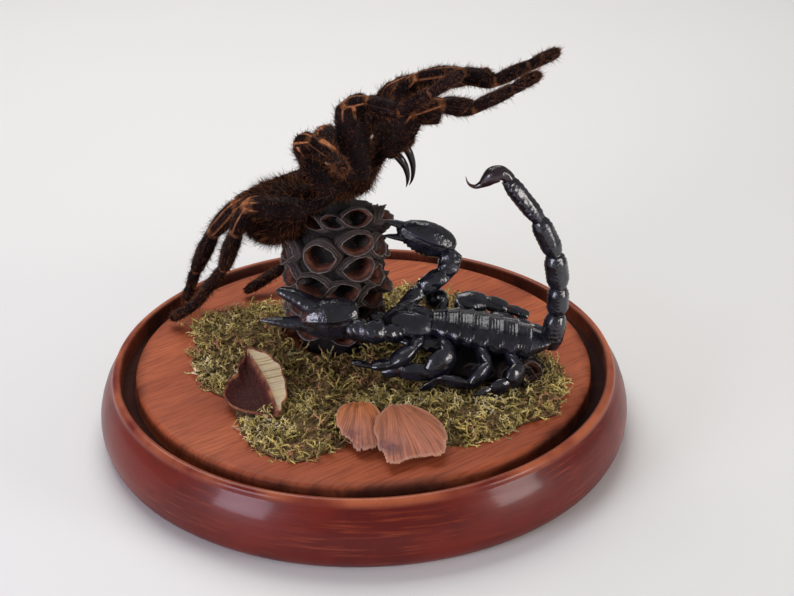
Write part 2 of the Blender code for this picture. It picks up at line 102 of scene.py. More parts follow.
class Look:
    """A material under construction on its Principled shader."""

    def __init__(self, name, roughness=0.5, **fixed):
        self.material = bpy.data.materials.new(name)
        self.material.use_nodes = True
        self.tree = self.material.node_tree
        self.shader = self.tree.nodes["Principled BSDF"]
        self.shader.inputs["Roughness"].default_value = roughness
        for key, value in fixed.items():
            self.shader.inputs[key.replace("_", " ")].default_value = value

    def node(self, kind, settings=None, inputs=None, outlet=0):
        """Adds a node: its settings first, then its sockets' values or links."""
        made = self.tree.nodes.new(kind)
        for key, value in (settings or {}).items():
            if key == "stops":
                ramp = made.color_ramp
                while len(ramp.elements) < len(value):
                    ramp.elements.new(0.5)
                for stop, (at, colour) in zip(ramp.elements, value):
                    stop.position = at
                    stop.color = (*colour, 1.0)
            else:
                setattr(made, key, value)
        for key, value in (inputs or {}).items():
            self.plug(made.inputs[key], value)
        return Value(self, made.outputs[outlet])

    def plug(self, socket, value):
        if isinstance(value, Value):
            self.tree.links.new(value.socket, socket)
        elif socket.type == "RGBA":
            socket.default_value = (*value[:3], 1.0)
        else:
            socket.default_value = value

    def number(self, operation, *terms):
        return self.node("ShaderNodeMath", {"operation": operation}, dict(enumerate(terms)))

    def place(self):
        return self.node("ShaderNodeTexCoord", outlet="Object")

    def uv(self):
        return self.node("ShaderNodeTexCoord", outlet="UV")

    def mapped(self, vector, stretch=(1, 1, 1), turn=(0, 0, 0)):
        inputs = {"Vector": vector, "Scale": stretch, "Rotation": turn}
        return self.node("ShaderNodeMapping", None, inputs)

    def axis(self, vector, name):
        return self.node("ShaderNodeSeparateXYZ", None, {0: vector}, outlet=name)

    def attribute(self, name):
        return self.node("ShaderNodeAttribute", {"attribute_name": name}, outlet="Fac")

    def noise(self, vector, scale, detail=3.0):
        inputs = {"Vector": vector, "Scale": scale, "Detail": detail, "Roughness": 0.55}
        return self.node("ShaderNodeTexNoise", None, inputs)

    def cells(self, vector, scale):
        return self.node("ShaderNodeTexVoronoi", None, {"Vector": vector, "Scale": scale})

    def band(self, value, low, high):
        inputs = {"Value": value, "From Min": low, "From Max": high}
        return self.node("ShaderNodeMapRange", {"clamp": True}, inputs)

    def ramp(self, value, *stops):
        return self.node("ShaderNodeValToRGB", {"stops": stops}, {"Fac": value}, outlet="Color")

    def mix(self, factor, a, b):
        return self.node("ShaderNodeMix", {"data_type": "RGBA"}, {0: factor, 6: a, 7: b}, outlet=2)

    def bump(self, height, strength, distance):
        inputs = {"Height": height, "Strength": strength, "Distance": distance * MM}
        return self.node("ShaderNodeBump", None, inputs)

    def set(self, **sockets):
        for key, value in sockets.items():
            self.plug(self.shader.inputs[key.replace("_", " ")], value)
        return self.material


# Shape helpers.

def skin(bm, around, along, point):
    """A closed skin: a grid whose point(u, v), in mm, wraps round and shrinks to its ends."""
    bm.loops.layers.uv.verify()
    made = bmesh.ops.create_grid(
        bm, x_segments=around, y_segments=along, size=0.5, calc_uvs=True
    )
    verts = made["verts"]
    for vert in verts:
        u, v = vert.co.x + 0.5, vert.co.y + 0.5
        vert.co = Vector(point(u % SEAM, v)) * MM
    bmesh.ops.remove_doubles(bm, verts=verts, dist=WELD * MM)
    return verts


def blob(bm, centre, size, turn=(0, 0, 0), shape=None, around=32, along=24):
    """A rounded body: a sphere scaled to size, bent by shape(p, unit), turned and placed."""
    rotation, centre = Euler(turn).to_matrix(), Vector(centre)

    def point(u, v):
        a, b = 2 * pi * u, pi * (v - 0.5)
        unit = Vector((cos(a) * cos(b), sin(a) * cos(b), sin(b)))
        p = Vector((unit.x * size[0], unit.y * size[1], unit.z * size[2]))
        return centre + rotation @ (shape(p, unit) if shape else p)

    return skin(bm, around, along, point)


def stations(joints, radii, swell, rows, up):
    """Rows along a chain of joints: (segment, share, centre, side, top, radius, ahead)."""
    marks = [Vector(j) for j in joints]
    found = []
    for i, radius in enumerate(radii):
        a, b = marks[i], marks[i + 1]
        for k in range(rows):
            t = 0.5 - 0.5 * cos(pi * (k + 0.5) / rows)
            found.append((i, t, a.lerp(b, t), radius * swell(i, t)))
    path = []
    last = Vector(up)
    for k, (i, t, centre, radius) in enumerate(found):
        ahead = found[min(k + 1, len(found) - 1)][2] - found[max(k - 1, 0)][2]
        ahead.normalize()
        top = (last - ahead * last.dot(ahead)).normalized()
        last = top
        path.append((i, t, centre, ahead.cross(top), top, radius, ahead))
    return path


def limb(bm, joints, radii, swell, around, rows, relief=None, flat=1.0, up=(0, 0, 1)):
    """A jointed limb; relief(segment, share, angle) adds mm to its radius.

    Each vertex keeps the direction of its segment as its flow, for the hair to follow.
    """
    path = stations(joints, radii, swell, rows, up)
    flow = bm.verts.layers.float_vector.get("flow") or bm.verts.layers.float_vector.new("flow")
    last = len(path) + 1

    def point(u, v):
        k = round(v * last)
        if k == 0 or k == last:
            i, t, centre, side, top, radius, ahead = path[0 if k == 0 else -1]
            return centre + ahead * (-0.35 if k == 0 else 0.35) * radius
        i, t, centre, side, top, radius, ahead = path[k - 1]
        a = 2 * pi * u
        r = radius + (relief(i, t, a) if relief else 0.0)
        return centre + side * (r * cos(a)) + top * (r * flat * sin(a))

    verts = skin(bm, around, last, point)
    live = [v for v in verts if v.is_valid]
    marks = [Vector(j) * MM for j in joints]
    for vert in live:
        best = min(
            range(len(marks) - 1),
            key=lambda i: (vert.co - (marks[i] + marks[i + 1]) / 2).length
            - 0.5 * (marks[i + 1] - marks[i]).length,
        )
        vert[flow] = (marks[best + 1] - marks[best]).normalized()
    return live


def rope(bm, points, around, rows, relief=None, flat=1.0):
    """A smooth tapering tube through (x, y, z, radius) points."""
    marks = [Vector(p) for p in points]
    marks = [2 * marks[0] - marks[1]] + marks + [2 * marks[-1] - marks[-2]]
    path = []
    for i in range(1, len(marks) - 2):
        for k in range(rows):
            t = k / rows
            a, b, c, d = marks[i - 1: i + 3]
            path.append(0.5 * (2 * b + (c - a) * t + (2 * a - 5 * b + 4 * c - d) * t * t
                               + (3 * b - a - 3 * c + d) * t ** 3))
    path.append(marks[-2])
    centres = [Vector(p[:3]) for p in path]
    last_up = Vector((0, 0, 1))
    frames = []
    for k, centre in enumerate(centres):
        ahead = (centres[min(k + 1, len(path) - 1)] - centres[max(k - 1, 0)]).normalized()
        top = (last_up - ahead * last_up.dot(ahead)).normalized()
        last_up = top
        frames.append((centre, ahead.cross(top), top, ahead))
    last = len(path) + 1

    def point(u, v):
        k = round(v * last)
        j = min(max(k - 1, 0), len(path) - 1)
        centre, side, top, ahead = frames[j]
        radius = max(path[j][3], 0.02)
        if k == 0 or k == last:
            return centre + ahead * (-0.3 if k == 0 else 0.3) * radius
        a = 2 * pi * u
        r = radius + (relief(j / (len(path) - 1), a) if relief else 0.0)
        return centre + side * (r * cos(a)) + top * (r * flat * sin(a))

    return skin(bm, around, last, point)


def rough(p, size, seed=0.0):
    """Smooth noise, about -1 to 1, at a point in mm, with lumps of a size in mm."""
    return noise.noise(Vector(p) / size + Vector((seed, 1.7 * seed, 0.3 * seed)))


def mesh_of(name, bm):
    """Turns a bmesh into a smooth mesh and frees it."""
    mesh = bpy.data.meshes.new(name)
    bm.to_mesh(mesh)
    bm.free()
    mesh.shade_smooth()
    return mesh


def closed_mesh(name, bm):
    """Turns a bmesh of closed skins into a smooth mesh whose faces look outward."""
    bmesh.ops.recalc_face_normals(bm, faces=bm.faces)
    return mesh_of(name, bm)


def joined(name, meshes):
    bm = bmesh.new()
    for part in meshes:
        bm.from_mesh(part)
    return mesh_of(name, bm)


def show(name, bm, material, nodes=()):
    """Turns a bmesh into a piece on the frame, standing for the CAD nodes named."""
    return dress(name, closed_mesh(name, bm), material, nodes)


def dress(name, mesh, material, nodes=()):
    """Puts a mesh on the frame as a piece of its own, standing for the CAD nodes named."""
    piece = bpy.data.objects.new(name, mesh)
    bpy.context.scene.collection.objects.link(piece)
    mesh.materials.clear()
    mesh.materials.append(material)
    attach(piece, "root")
    if nodes:
        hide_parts(*nodes)
    return piece


# Hair, fibres and moss: many small strands joined in one mesh.

def scatter(mesh, count, rng, keep):
    """Points spread over a mesh by area, in mm, with their normals, flow and stripe values."""
    mesh.calc_loop_triangles()
    co = np.empty(len(mesh.vertices) * 3)
    mesh.vertices.foreach_get("co", co)
    co = co.reshape(-1, 3) / MM
    tri = np.empty(len(mesh.loop_triangles) * 3, int)
    mesh.loop_triangles.foreach_get("vertices", tri)
    tri = tri.reshape(-1, 3)
    flow = np.zeros_like(co)
    if "flow" in mesh.attributes:
        flat = np.empty(len(mesh.vertices) * 3)
        mesh.attributes["flow"].data.foreach_get("vector", flat)
        flow = flat.reshape(-1, 3)
    bright = np.zeros(len(mesh.vertices))
    if "stripe" in mesh.attributes:
        mesh.attributes["stripe"].data.foreach_get("value", bright)
    a, b, c = co[tri[:, 0]], co[tri[:, 1]], co[tri[:, 2]]
    cross = np.cross(b - a, c - a)
    area = np.linalg.norm(cross, axis=1)
    normal = cross / np.maximum(area, 1e-9)[:, None]
    # Fewer hairs grow on the bare stripes.
    weight = area * (1 - 0.75 * np.minimum(1.0, 1.4 * bright[tri].mean(axis=1)))
    if keep is not None:
        weight *= keep((a + b + c) / 3, normal)
    pick = rng.choice(len(tri), count, p=weight / weight.sum())
    r1, r2 = np.sqrt(rng.random(count)), rng.random(count)
    w = np.stack([1 - r1, r1 * (1 - r2), r1 * r2], axis=1)[:, :, None]
    at = (np.stack([a, b, c], axis=1)[pick] * w).sum(axis=1)
    along = (flow[tri[pick]] * w).sum(axis=1)
    return at, normal[pick], along, (bright[tri[pick]] * w[..., 0]).sum(axis=1)


def unit(rows):
    """Rows of vectors, each brought to a length of 1."""
    return rows / np.maximum(np.linalg.norm(rows, axis=1), 1e-9)[:, None]


def strands_mesh(name, spines, widths, tone):
    """One mesh of three-sided strands: spines (n, k, 3) in mm, widths (n, k), tone (n)."""
    n, k, _ = spines.shape
    ahead = np.gradient(spines, axis=1)
    ahead /= np.maximum(np.linalg.norm(ahead, axis=2), 1e-9)[..., None]
    helper = np.where(np.abs(ahead[..., 2:3]) > 0.9, [1.0, 0.0, 0.0], [0.0, 0.0, 1.0])
    side = np.cross(ahead, helper)
    side /= np.maximum(np.linalg.norm(side, axis=2), 1e-9)[..., None]
    top = np.cross(side, ahead)
    turns = 2 * pi * np.arange(3) / 3
    ring = (side[:, :, None] * np.cos(turns)[:, None] + top[:, :, None] * np.sin(turns)[:, None])
    verts = spines[:, :, None] + ring * widths[:, :, None, None]
    body = verts[:, :-1].reshape(n, -1, 3)
    verts = np.concatenate([body, spines[:, -1:, :]], axis=1)
    per = 3 * (k - 1) + 1
    faces = []
    for j in range(k - 2):
        for s in range(3):
            t = (s + 1) % 3
            low, high = 3 * j, 3 * (j + 1)
            faces += [(low + s, low + t, high + t), (low + s, high + t, high + s)]
    for s in range(3):
        faces.append((3 * (k - 2) + s, 3 * (k - 2) + (s + 1) % 3, per - 1))
    faces.append((2, 1, 0))
    faces = np.array(faces)[None] + (np.arange(n) * per)[:, None, None]
    share = np.concatenate([np.repeat(np.linspace(0, 1, k)[:-1], 3), [1.0]])
    return mesh_from_arrays(name, verts.reshape(-1, 3), faces.reshape(-1, 3),
                            {"tip": np.tile(share, n), "tone": np.repeat(tone, per)})


def mesh_from_arrays(name, verts, faces, values):
    """A mesh of triangles from vertices in mm, with a value for each vertex by name."""
    mesh = bpy.data.meshes.new(name)
    mesh.vertices.add(len(verts))
    mesh.vertices.foreach_set("co", (verts * MM).astype(np.float32).ravel())
    mesh.loops.add(3 * len(faces))
    mesh.loops.foreach_set("vertex_index", faces.astype(np.int32).ravel())
    mesh.polygons.add(len(faces))
    mesh.polygons.foreach_set("loop_start", np.arange(0, 3 * len(faces), 3, dtype=np.int32))
    mesh.update(calc_edges=True)
    for key, value in values.items():
        layer = mesh.attributes.new(key, "FLOAT", "POINT")
        layer.data.foreach_set("value", value.astype(np.float32))
    mesh.shade_smooth()
    return mesh


def fur_mesh(name, mesh, count, length, width, lean, seed, keep=None, rows=3, jitter=0.35,
             flow=None, gold=0.0):
    """A coat on a mesh: each hair leans along the flow and curves over towards it."""
    rng = np.random.default_rng(seed)
    at, normal, along, bright = scatter(mesh, count, rng, keep)
    if flow is not None:
        along = flow(at)
    along = unit(along - normal * (along * normal).sum(axis=1)[:, None])
    stray = rng.normal(0, jitter, (count, 3))
    start = unit(normal * (1 - lean) + along * lean + stray)
    end = unit(start + HAIR_BEND * along + 0.4 * stray)
    size = length[0] + (length[1] - length[0]) * rng.random(count) ** 2
    share = np.linspace(0, 1, rows)[None, :, None]
    spine = at[:, None] - normal[:, None] * HAIR_SINK
    spine = spine + (size[:, None, None] + HAIR_SINK) * (
        share * start[:, None] * (1 - 0.5 * share) + 0.5 * share**2 * end[:, None])
    taper = width * (1 - 0.75 * share[..., 0]) * (0.8 + 0.4 * rng.random((count, 1)))
    # Most hairs are dark; those on the bare stripes and a few others are golden, a share that
    # also stands for painted rim light on the hair tips.
    shift = gold(at) if callable(gold) else gold
    tone = np.clip(rng.random(count) ** 2.2 + 0.75 * bright + shift, 0, 1)
    return strands_mesh(name, spine, taper, tone)


# Finishes of the base and the plants.

def stained_wood(settings):
    look = Look("stained_wood", roughness=0.4, Coat_Roughness=0.12, Specular_IOR_Level=0.15)
    place = look.place()
    # The grain runs up and to the right across the top, and the boards vary across it.
    turned = look.mapped(place, turn=(0, 0, radians(-38)))
    lying = look.mapped(turned, (12, 150, 40))
    boards = look.noise(look.mapped(turned, (3, 34, 2)), 1.0, 2.0)
    grain = look.noise(lying, 6.0, 5.0)
    cloud = look.noise(place, 38.0, 3.0)
    x, y, z = (look.axis(place, name) for name in "XYZ")
    out = (x * x + y * y) ** 0.5
    rim = look.band(out, 0.0866, 0.0884)
    side = look.band(z, 0.0228, 0.0150) * rim
    groove = look.band(out, 0.0812, 0.0822) * look.band(out, 0.0876, 0.0866)
    top = look.mix(look.band(boards, 0.40, 0.60), settings.plateau_dark, settings.plateau_light)
    top = look.mix(look.band(grain, 0.44, 0.66) * 0.55, top, settings.plateau_deep)
    ring_place = look.mapped(place, (20, 20, 340))
    streak = look.noise(ring_place, 3.0, 5.0)
    worn = look.band(streak, 0.52, 0.70)
    # The rim's colour is its stain, made darker than the top partly as painted shade of the side.
    rim_tone = look.mix(look.band(cloud, 0.4, 0.6) * 0.7, settings.rim_stain_and_shade, settings.rim_deep)
    rim_tone = look.mix(worn * look.band(cloud, 0.35, 0.65) * 0.5, rim_tone, settings.rim_worn)
    edge = look.band(z, 0.0215, 0.0240) * rim
    rim_tone = look.mix(edge * look.band(cloud, 0.35, 0.6), rim_tone, settings.rim_edge)
    colour = look.mix(rim, top, rim_tone)
    # Painted shade: a cloudy darker band on the top along the groove's inner edge.
    shade = look.band(out, 0.0775, 0.0812) * look.band(cloud, 0.42, 0.62) * 0.8
    colour = look.mix(shade * (1.0 - rim), colour, settings.groove_stain_and_shade)
    # The groove is darkened by its pooled stain and by painted shade; the pores take the same dark
    # tone.
    colour = look.mix(groove * 0.92, colour, settings.groove_stain_and_shade)
    pores = look.band(look.noise(look.mapped(turned, (60, 900, 300)), 4.0, 2.0), 0.64, 0.72)
    colour = look.mix(pores * 0.35, colour, settings.groove_stain_and_shade)
    rough = look.band(cloud, 0.3, 0.7) * 0.08 + 0.46 - rim * 0.14 + groove * 0.4
    height = grain * 0.6 + streak * side * 0.8 - pores * 0.5
    return look.set(Base_Color=colour, Roughness=rough, Coat_Weight=rim * 0.2,
                    Normal=look.bump(height, 0.35, 0.12))


def moss_green(settings):
    look = Look("dry_moss", roughness=0.85, Specular_IOR_Level=0.15)
    place = look.place()
    tone = look.attribute("tone")
    patch = look.noise(place, 34.0, 3.0)
    colour = look.ramp(tone * 0.55 + look.band(patch, 0.40, 0.60) * 0.45,
                       (0.14, settings.moss_brown), (0.32, settings.moss_dark),
                       (0.55, settings.moss_green), (0.78, settings.moss_yellow),
                       (1.0, settings.moss_pale))
    # Painted shade: darker hollows a few millimetres across, and darker feet of the strands.
    lit = look.band(look.noise(place, 170.0, 2.0), 0.36, 0.56)
    colour = look.mix(lit * 0.62 + 0.38, settings.moss_shade, colour)
    colour = look.mix(look.band(look.attribute("tip"), 0.0, 0.4), settings.moss_shade, colour)
    return look.set(Base_Color=colour)


def moss_bed(settings):
    look = Look("moss_bed", roughness=0.95, Specular_IOR_Level=0.1)
    spots = look.noise(look.place(), 900.0, 3.0)
    colour = look.ramp(spots, (0.3, settings.bed_dark), (0.7, settings.bed_light))
    return look.set(Base_Color=colour, Normal=look.bump(spots, 0.8, 0.6))


def cone_bark(settings):
    look = Look("weathered_cone", roughness=0.72)
    place = look.place()
    v = look.axis(look.uv(), "Y")
    crust = look.noise(place, 520.0, 4.0)
    fine = look.noise(look.mapped(place, (1, 1, 2.2)), 1500.0, 2.0)
    # The outside, two thin layered edges with painted shade in the creases between them,
    # the lip's pale edge, the ledge and the hollow, with painted shade at its bottom.
    tone = look.ramp(v, (0.10, settings.cone_dark_and_shade), (0.22, settings.cone_grey),
                     (0.245, settings.cone_rim), (0.27, settings.cone_dark_and_shade),
                     (0.37, settings.cone_grey), (0.40, settings.cone_rim),
                     (0.43, settings.cone_dark_and_shade), (0.52, settings.cone_grey),
                     (0.575, settings.cone_edge), (0.62, settings.cone_grey),
                     (0.68, settings.cone_ledge), (0.78, settings.cone_inside),
                     (0.88, settings.cone_inside), (0.94, settings.cone_deep_shade))
    tone = look.mix(look.band(crust, 0.42, 0.70) * 0.75, tone, settings.cone_dark_and_shade)
    tone = look.mix(look.band(fine, 0.58, 0.75) * 0.2, tone, settings.cone_edge)
    flakes = look.noise(look.mapped(look.uv(), (60, 8, 1)), 1.0, 3.0)
    height = crust * 0.6 + fine * 0.3 + flakes * 0.5
    return look.set(Base_Color=tone, Roughness=0.85 - look.band(crust, 0.4, 0.7) * 0.3,
                    Normal=look.bump(height, 0.9, 0.5))


def cone_core(settings):
    look = Look("cone_core", roughness=0.9)
    place = look.place()
    grit = look.noise(place, 700.0, 4.0)
    # Painted shade: the core shows between the valves and at the backs of the mouths, so it is near
    # black.
    colour = look.ramp(grit, (0.35, settings.cone_deep_shade), (0.7, settings.cone_dark_and_shade))
    return look.set(Base_Color=colour, Normal=look.bump(grit, 0.9, 0.5))


def fibre_grey(settings):
    look = Look("cone_fibres", roughness=0.8)
    colour = look.mix(look.attribute("tone"), settings.cone_dark_and_shade, settings.fibre)
    return look.set(Base_Color=colour)


def pod_skin(settings):
    look = Look("seed_pod_skin", roughness=0.55, Specular_IOR_Level=0.2)
    part = look.attribute("part")
    place = look.place()
    rays = look.noise(look.mapped(look.uv(), (60, 3, 1)), 1.0, 3.0)
    turned = look.mapped(place, turn=(0, 0, radians(-20)))
    lines = look.noise(look.mapped(turned, (30, 900, 40)), 1.0, 3.0)
    mottle = look.noise(place, 260.0, 4.0)
    grit = look.noise(place, 1100.0, 3.0)
    hollow = look.mix(look.band(rays, 0.4, 0.7) * 0.4, settings.pod_hollow, settings.pod_warm)
    hollow = look.mix(look.band(grit, 0.50, 0.70) * 0.7, hollow, settings.pod_warm)
    pale = look.mix(look.band(lines, 0.48, 0.68), settings.pod_pale, settings.pod_line)
    pale = look.mix(look.band(mottle, 0.5, 0.75) * 0.5, pale, settings.pod_grey)
    colour = look.mix(look.band(part, 0.55, 0.7), hollow, pale)
    rim = look.mix(look.band(mottle, 0.35, 0.65), settings.pod_rim, settings.pod_warm)
    colour = look.mix(look.attribute("rim"), colour, rim)
    back = look.mix(mottle, settings.pod_back_dark, settings.pod_back_light)
    colour = look.mix(look.attribute("back"), colour, back)
    height = rays * 0.3 + lines * 0.6 + mottle * 0.4 + grit * 0.5
    return look.set(Base_Color=colour, Roughness=0.55 + mottle * 0.3,
                    Normal=look.bump(height, 0.5, 0.25))


def bract_skin(settings, name, low, high, streak, stain):
    """A dry scale: low colours its free end, high its foot, and stain is its dark spot's place."""
    look = Look(name, roughness=0.6, Specular_IOR_Level=0.3)
    # Veins fan out from the scale's foot.
    veins = look.node("ShaderNodeCombineXYZ", None, {0: look.attribute("fan"),
                                                     1: look.attribute("tip") * 0.08})
    fan = look.noise(look.mapped(veins, (42, 18, 1)), 1.0, 4.0)
    wide = look.noise(look.mapped(veins, (7, 10, 1)), 1.0, 2.0)
    edge = look.band(look.attribute("edge"), 0.90, 0.99)
    place = look.place()
    blotch = look.noise(place, 150.0, 3.0)
    off_x = look.axis(place, "X") - stain[0] * MM
    off_y = look.axis(place, "Y") - stain[1] * MM
    spot = look.band((off_x * off_x + off_y * off_y) ** 0.5, 0.0085, 0.0015)
    tip = look.attribute("tip")
    colour = look.mix(look.band(tip, 0.15, 0.85), high, low)
    colour = look.mix(look.band(wide, 0.45, 0.68) * 0.7, colour, streak)
    colour = look.mix(look.band(fan, 0.46, 0.62) * 0.6, colour, settings.bract_dark)
    colour = look.mix(look.band(blotch, 0.40, 0.62) * spot * 0.85, colour, settings.bract_violet)
    colour = look.mix(look.band(blotch, 0.60, 0.75) * 0.5, colour, settings.bract_dark)
    colour = look.mix(edge * 0.5, colour, settings.bract_pale)
    return look.set(Base_Color=colour, Roughness=0.5 + 0.25 * fan,
                    Normal=look.bump(fan * 0.7 + wide * 0.6, 0.6, 0.25))


# The turned base.

def build_base(settings):
    bm = bmesh.new()
    profile = (
        (0.0, 24.3), (40.0, 24.3), (79.2, 24.3), (80.4, 24.15), (81.3, 23.5), (81.6, 22.6),
        (81.6, 18.9), (81.9, 18.5), (86.7, 18.5), (87.0, 18.9), (87.0, 23.6), (87.3, 24.25),
        (87.9, 24.5), (88.8, 24.45), (89.7, 24.0), (90.1, 23.0), (90.15, 22.2), (90.45, 21.6),
        (91.6, 20.1), (93.0, 17.4), (94.1, 14.2), (94.8, 11.2), (95.0, 8.4), (94.75, 5.6),
        (94.1, 3.2), (93.2, 1.5), (92.2, 0.5), (91.0, 0.0), (45.0, 0.0), (0.0, 0.0),
    )
    verts = [bm.verts.new((r * MM, 0, z * MM)) for r, z in profile]
    for a, b in zip(verts, verts[1:]):
        bm.edges.new((a, b))
    bmesh.ops.spin(bm, geom=bm.verts[:] + bm.edges[:], cent=(0, 0, 0), axis=(0, 0, 1),
                   angle=2 * pi, steps=settings.turned_steps, use_merge=True)
    bmesh.ops.remove_doubles(bm, verts=bm.verts, dist=0.005 * MM)
    for vert in bm.verts:
        x, y, z = vert.co / MM
        out = hypot(x, y)
        # Small dents in the worn inner edge of the groove.
        if 79 < out < 82 and z > 22:
            dent = max(0.0, rough((x, y, z), 2.2, 3.0) - 0.25)
            vert.co.z -= 0.9 * dent * MM
    show("base_wood", bm, stained_wood(settings), ("base",))


# Moss.

MOSS_BATCHES = 3
STRAND_KNOTS = 6
POD_CENTRE = (-37.0, -26.0)


def build_moss(settings):
    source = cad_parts["moss"].data
    bm = bmesh.new()
    bm.from_mesh(source)
    bmesh.ops.remove_doubles(bm, verts=bm.verts, dist=0.02 * MM)
    bmesh.ops.subdivide_edges(bm, edges=bm.edges[:], cuts=1, use_grid_fill=True)
    # The bed is sunk a little, so that the strands stand out of it.
    for vert in bm.verts:
        p = vert.co / MM
        if p.z > PLATEAU_TOP + 0.5:
            vert.co.z -= min(1.3, p.z - PLATEAU_TOP - 0.45) * (0.7 + 0.3 * rough(p, 3.0)) * MM
    bmesh.ops.triangulate(bm, faces=bm.faces)
    show("moss_bed", bm, moss_bed(settings), ("moss",))
    look = moss_green(settings)
    for batch in range(MOSS_BATCHES):
        name = "moss_strands_%d" % (batch + 1)
        dress(name, moss_strands(name, source, settings, batch), look)


def moss_strands(name, source, settings, batch):
    """Curling stems with small leaves, grown from the moss mat's upper side."""
    rng = np.random.default_rng(40 + batch)
    count, knots = settings.moss_strands // MOSS_BATCHES, STRAND_KNOTS

    def keep(centre, normal):
        # More strands grow at the mat's low edge, and none under the seed pod.
        edge = 1.0 + 1.1 * (centre[:, 2] < PLATEAU_TOP + 1.5)
        pod = np.hypot(centre[:, 0] - POD_CENTRE[0], centre[:, 1] - POD_CENTRE[1]) < 13.5
        return np.where(normal[:, 2] > 0.05, edge, 0.25) * (1 - pod)

    at, normal, _, _ = scatter(source, count, rng, keep)
    heading = rng.random(count) * 2 * pi
    rise = rng.normal(0.3, 0.45, count)
    step = 0.8 + 0.9 * rng.random(count) ** 2
    spine = np.empty((count, knots, 3))
    spine[:, 0] = at - [0, 0, 0.7]
    curl = rng.normal(0, 0.6, count)
    for k in range(1, knots):
        heading = heading + curl + rng.normal(0, 0.5, count)
        rise = rise - 0.14 + rng.normal(0, 0.4, count)
        ahead = np.stack([np.cos(heading) * np.cos(rise), np.sin(heading) * np.cos(rise),
                          np.sin(rise)], axis=1)
        spine[:, k] = spine[:, k - 1] + ahead * step[:, None]
    top = np.maximum(at[:, 2] + 2.4, PLATEAU_TOP + 2.2)[:, None]
    spine[:, :, 2] = np.clip(spine[:, :, 2], PLATEAU_TOP + 0.15, top)
    widths = np.linspace(0.34, 0.16, knots)[None] * (0.7 + 0.6 * rng.random((count, 1)))
    tone = np.clip(rng.normal(0.54, 0.38, count), 0, 1)
    # Low clumps and hollows, with lower-toned strands in the hollows: browner, and darker as painted
    # shade.
    lump = np.sin(0.42 * at[:, 0] + 1.3 * np.sin(0.31 * at[:, 1])) * np.sin(0.5 * at[:, 1] + 0.7)
    spine[:, 1:, 2] += 0.9 * lump[:, None]
    tone = np.clip(tone + 0.12 * lump, 0, 1)
    stems = strands_mesh("moss", spine, widths, tone)
    # Each stem carries pairs of small leaves, as three-sided spikes on its knots.
    leaves, leaf_width, leaf_tone = [], [], []
    for k in range(1, knots - 1):
        ahead = unit(spine[:, k + 1] - spine[:, k])
        for _ in range(2):
            out = unit(ahead * 0.8 + rng.normal(0, 0.6, (count, 3)))
            size = (0.7 + 0.7 * rng.random(count))[:, None]
            leaves.append(np.stack([spine[:, k], spine[:, k] + out * size], axis=1))
            leaf_width.append(np.tile([0.24, 0.0], (count, 1)))
            leaf_tone.append(np.clip(tone + rng.normal(0, 0.12, count), 0, 1))
    leaf = strands_mesh("leaves", np.concatenate(leaves), np.concatenate(leaf_width),
                        np.concatenate(leaf_tone))
    return joined(name, (stems, leaf))


# Cones.

CONE_CENTRE = (-10.0, 17.0)
CONE_RADIUS = 15.2
CONE_TOP = 77.0
CONE_ROWS = 84
MOUTH_DEPTH = 5.5
CONE_BEND = 64.0

# Follicles as (degrees from the front towards +X, height, width, mouth height, lift).
FOLLICLES = (
    (-18, 65.3, 12.2, 9.5, 3.2), (24, 69.6, 12.2, 7.4, 3.0), (32, 60.3, 12.6, 8.1, 3.2),
    (15, 77.0, 10.8, 6.0, 3.0), (-26, 53.6, 13.1, 7.6, 3.2), (10, 51.6, 12.2, 6.9, 3.0),
    (52, 47.0, 11.7, 7.4, 3.0), (60, 54.6, 9.0, 6.9, 3.0), (62, 66.0, 9.0, 7.3, 3.2),
    (-71, 63.6, 10.8, 6.5, 2.8), (-66, 54.0, 11.2, 7.2, 3.0), (-60, 73.5, 10.8, 4.0, 2.4),
    (-27, 75.6, 9.5, 4.5, 2.2), (34, 41.6, 11.2, 7.3, 3.0), (-8, 43.4, 12.2, 6.9, 3.0),
    (-46, 44.6, 11.2, 6.9, 2.8), (12, 34.5, 10.8, 6.9, 2.8), (-34, 35.5, 11.2, 6.9, 2.6),
    (64, 37.5, 9.9, 6.9, 2.8), (-76, 37.0, 9.9, 6.9, 2.6), (82, 74.0, 8.1, 5.2, 4.2),
    (86, 62.0, 9.0, 6.9, 3.4), (84, 48.0, 9.0, 6.9, 4.2), (42, 32.0, 9.9, 6.0, 2.4),
)


def all_follicles():
    """The follicles that the photograph shows, and five even rows round the back."""
    found = list(FOLLICLES)
    for row in range(5):
        for i in range(5):
            angle = 112 + 37 * i + (14 if row % 2 else -4)
            if angle < 278:
                tall = 7.6 + 1.2 * sin(3.0 * i + 5.0 * row)
                found.append((angle, 31 + 9.8 * row + 1.2 * sin(4.0 * i), 10.2, tall, 2.9))
    return found


def cone_line(z):
    """Centre x and radius of the standing cone at a height."""
    if z < CONE_BEND:
        return CONE_CENTRE[0], CONE_RADIUS
    t = min(1.0, (z - CONE_BEND) / 13.5)
    return CONE_CENTRE[0] + 6.0 * t, CONE_RADIUS - 6.6 * t ** 1.5


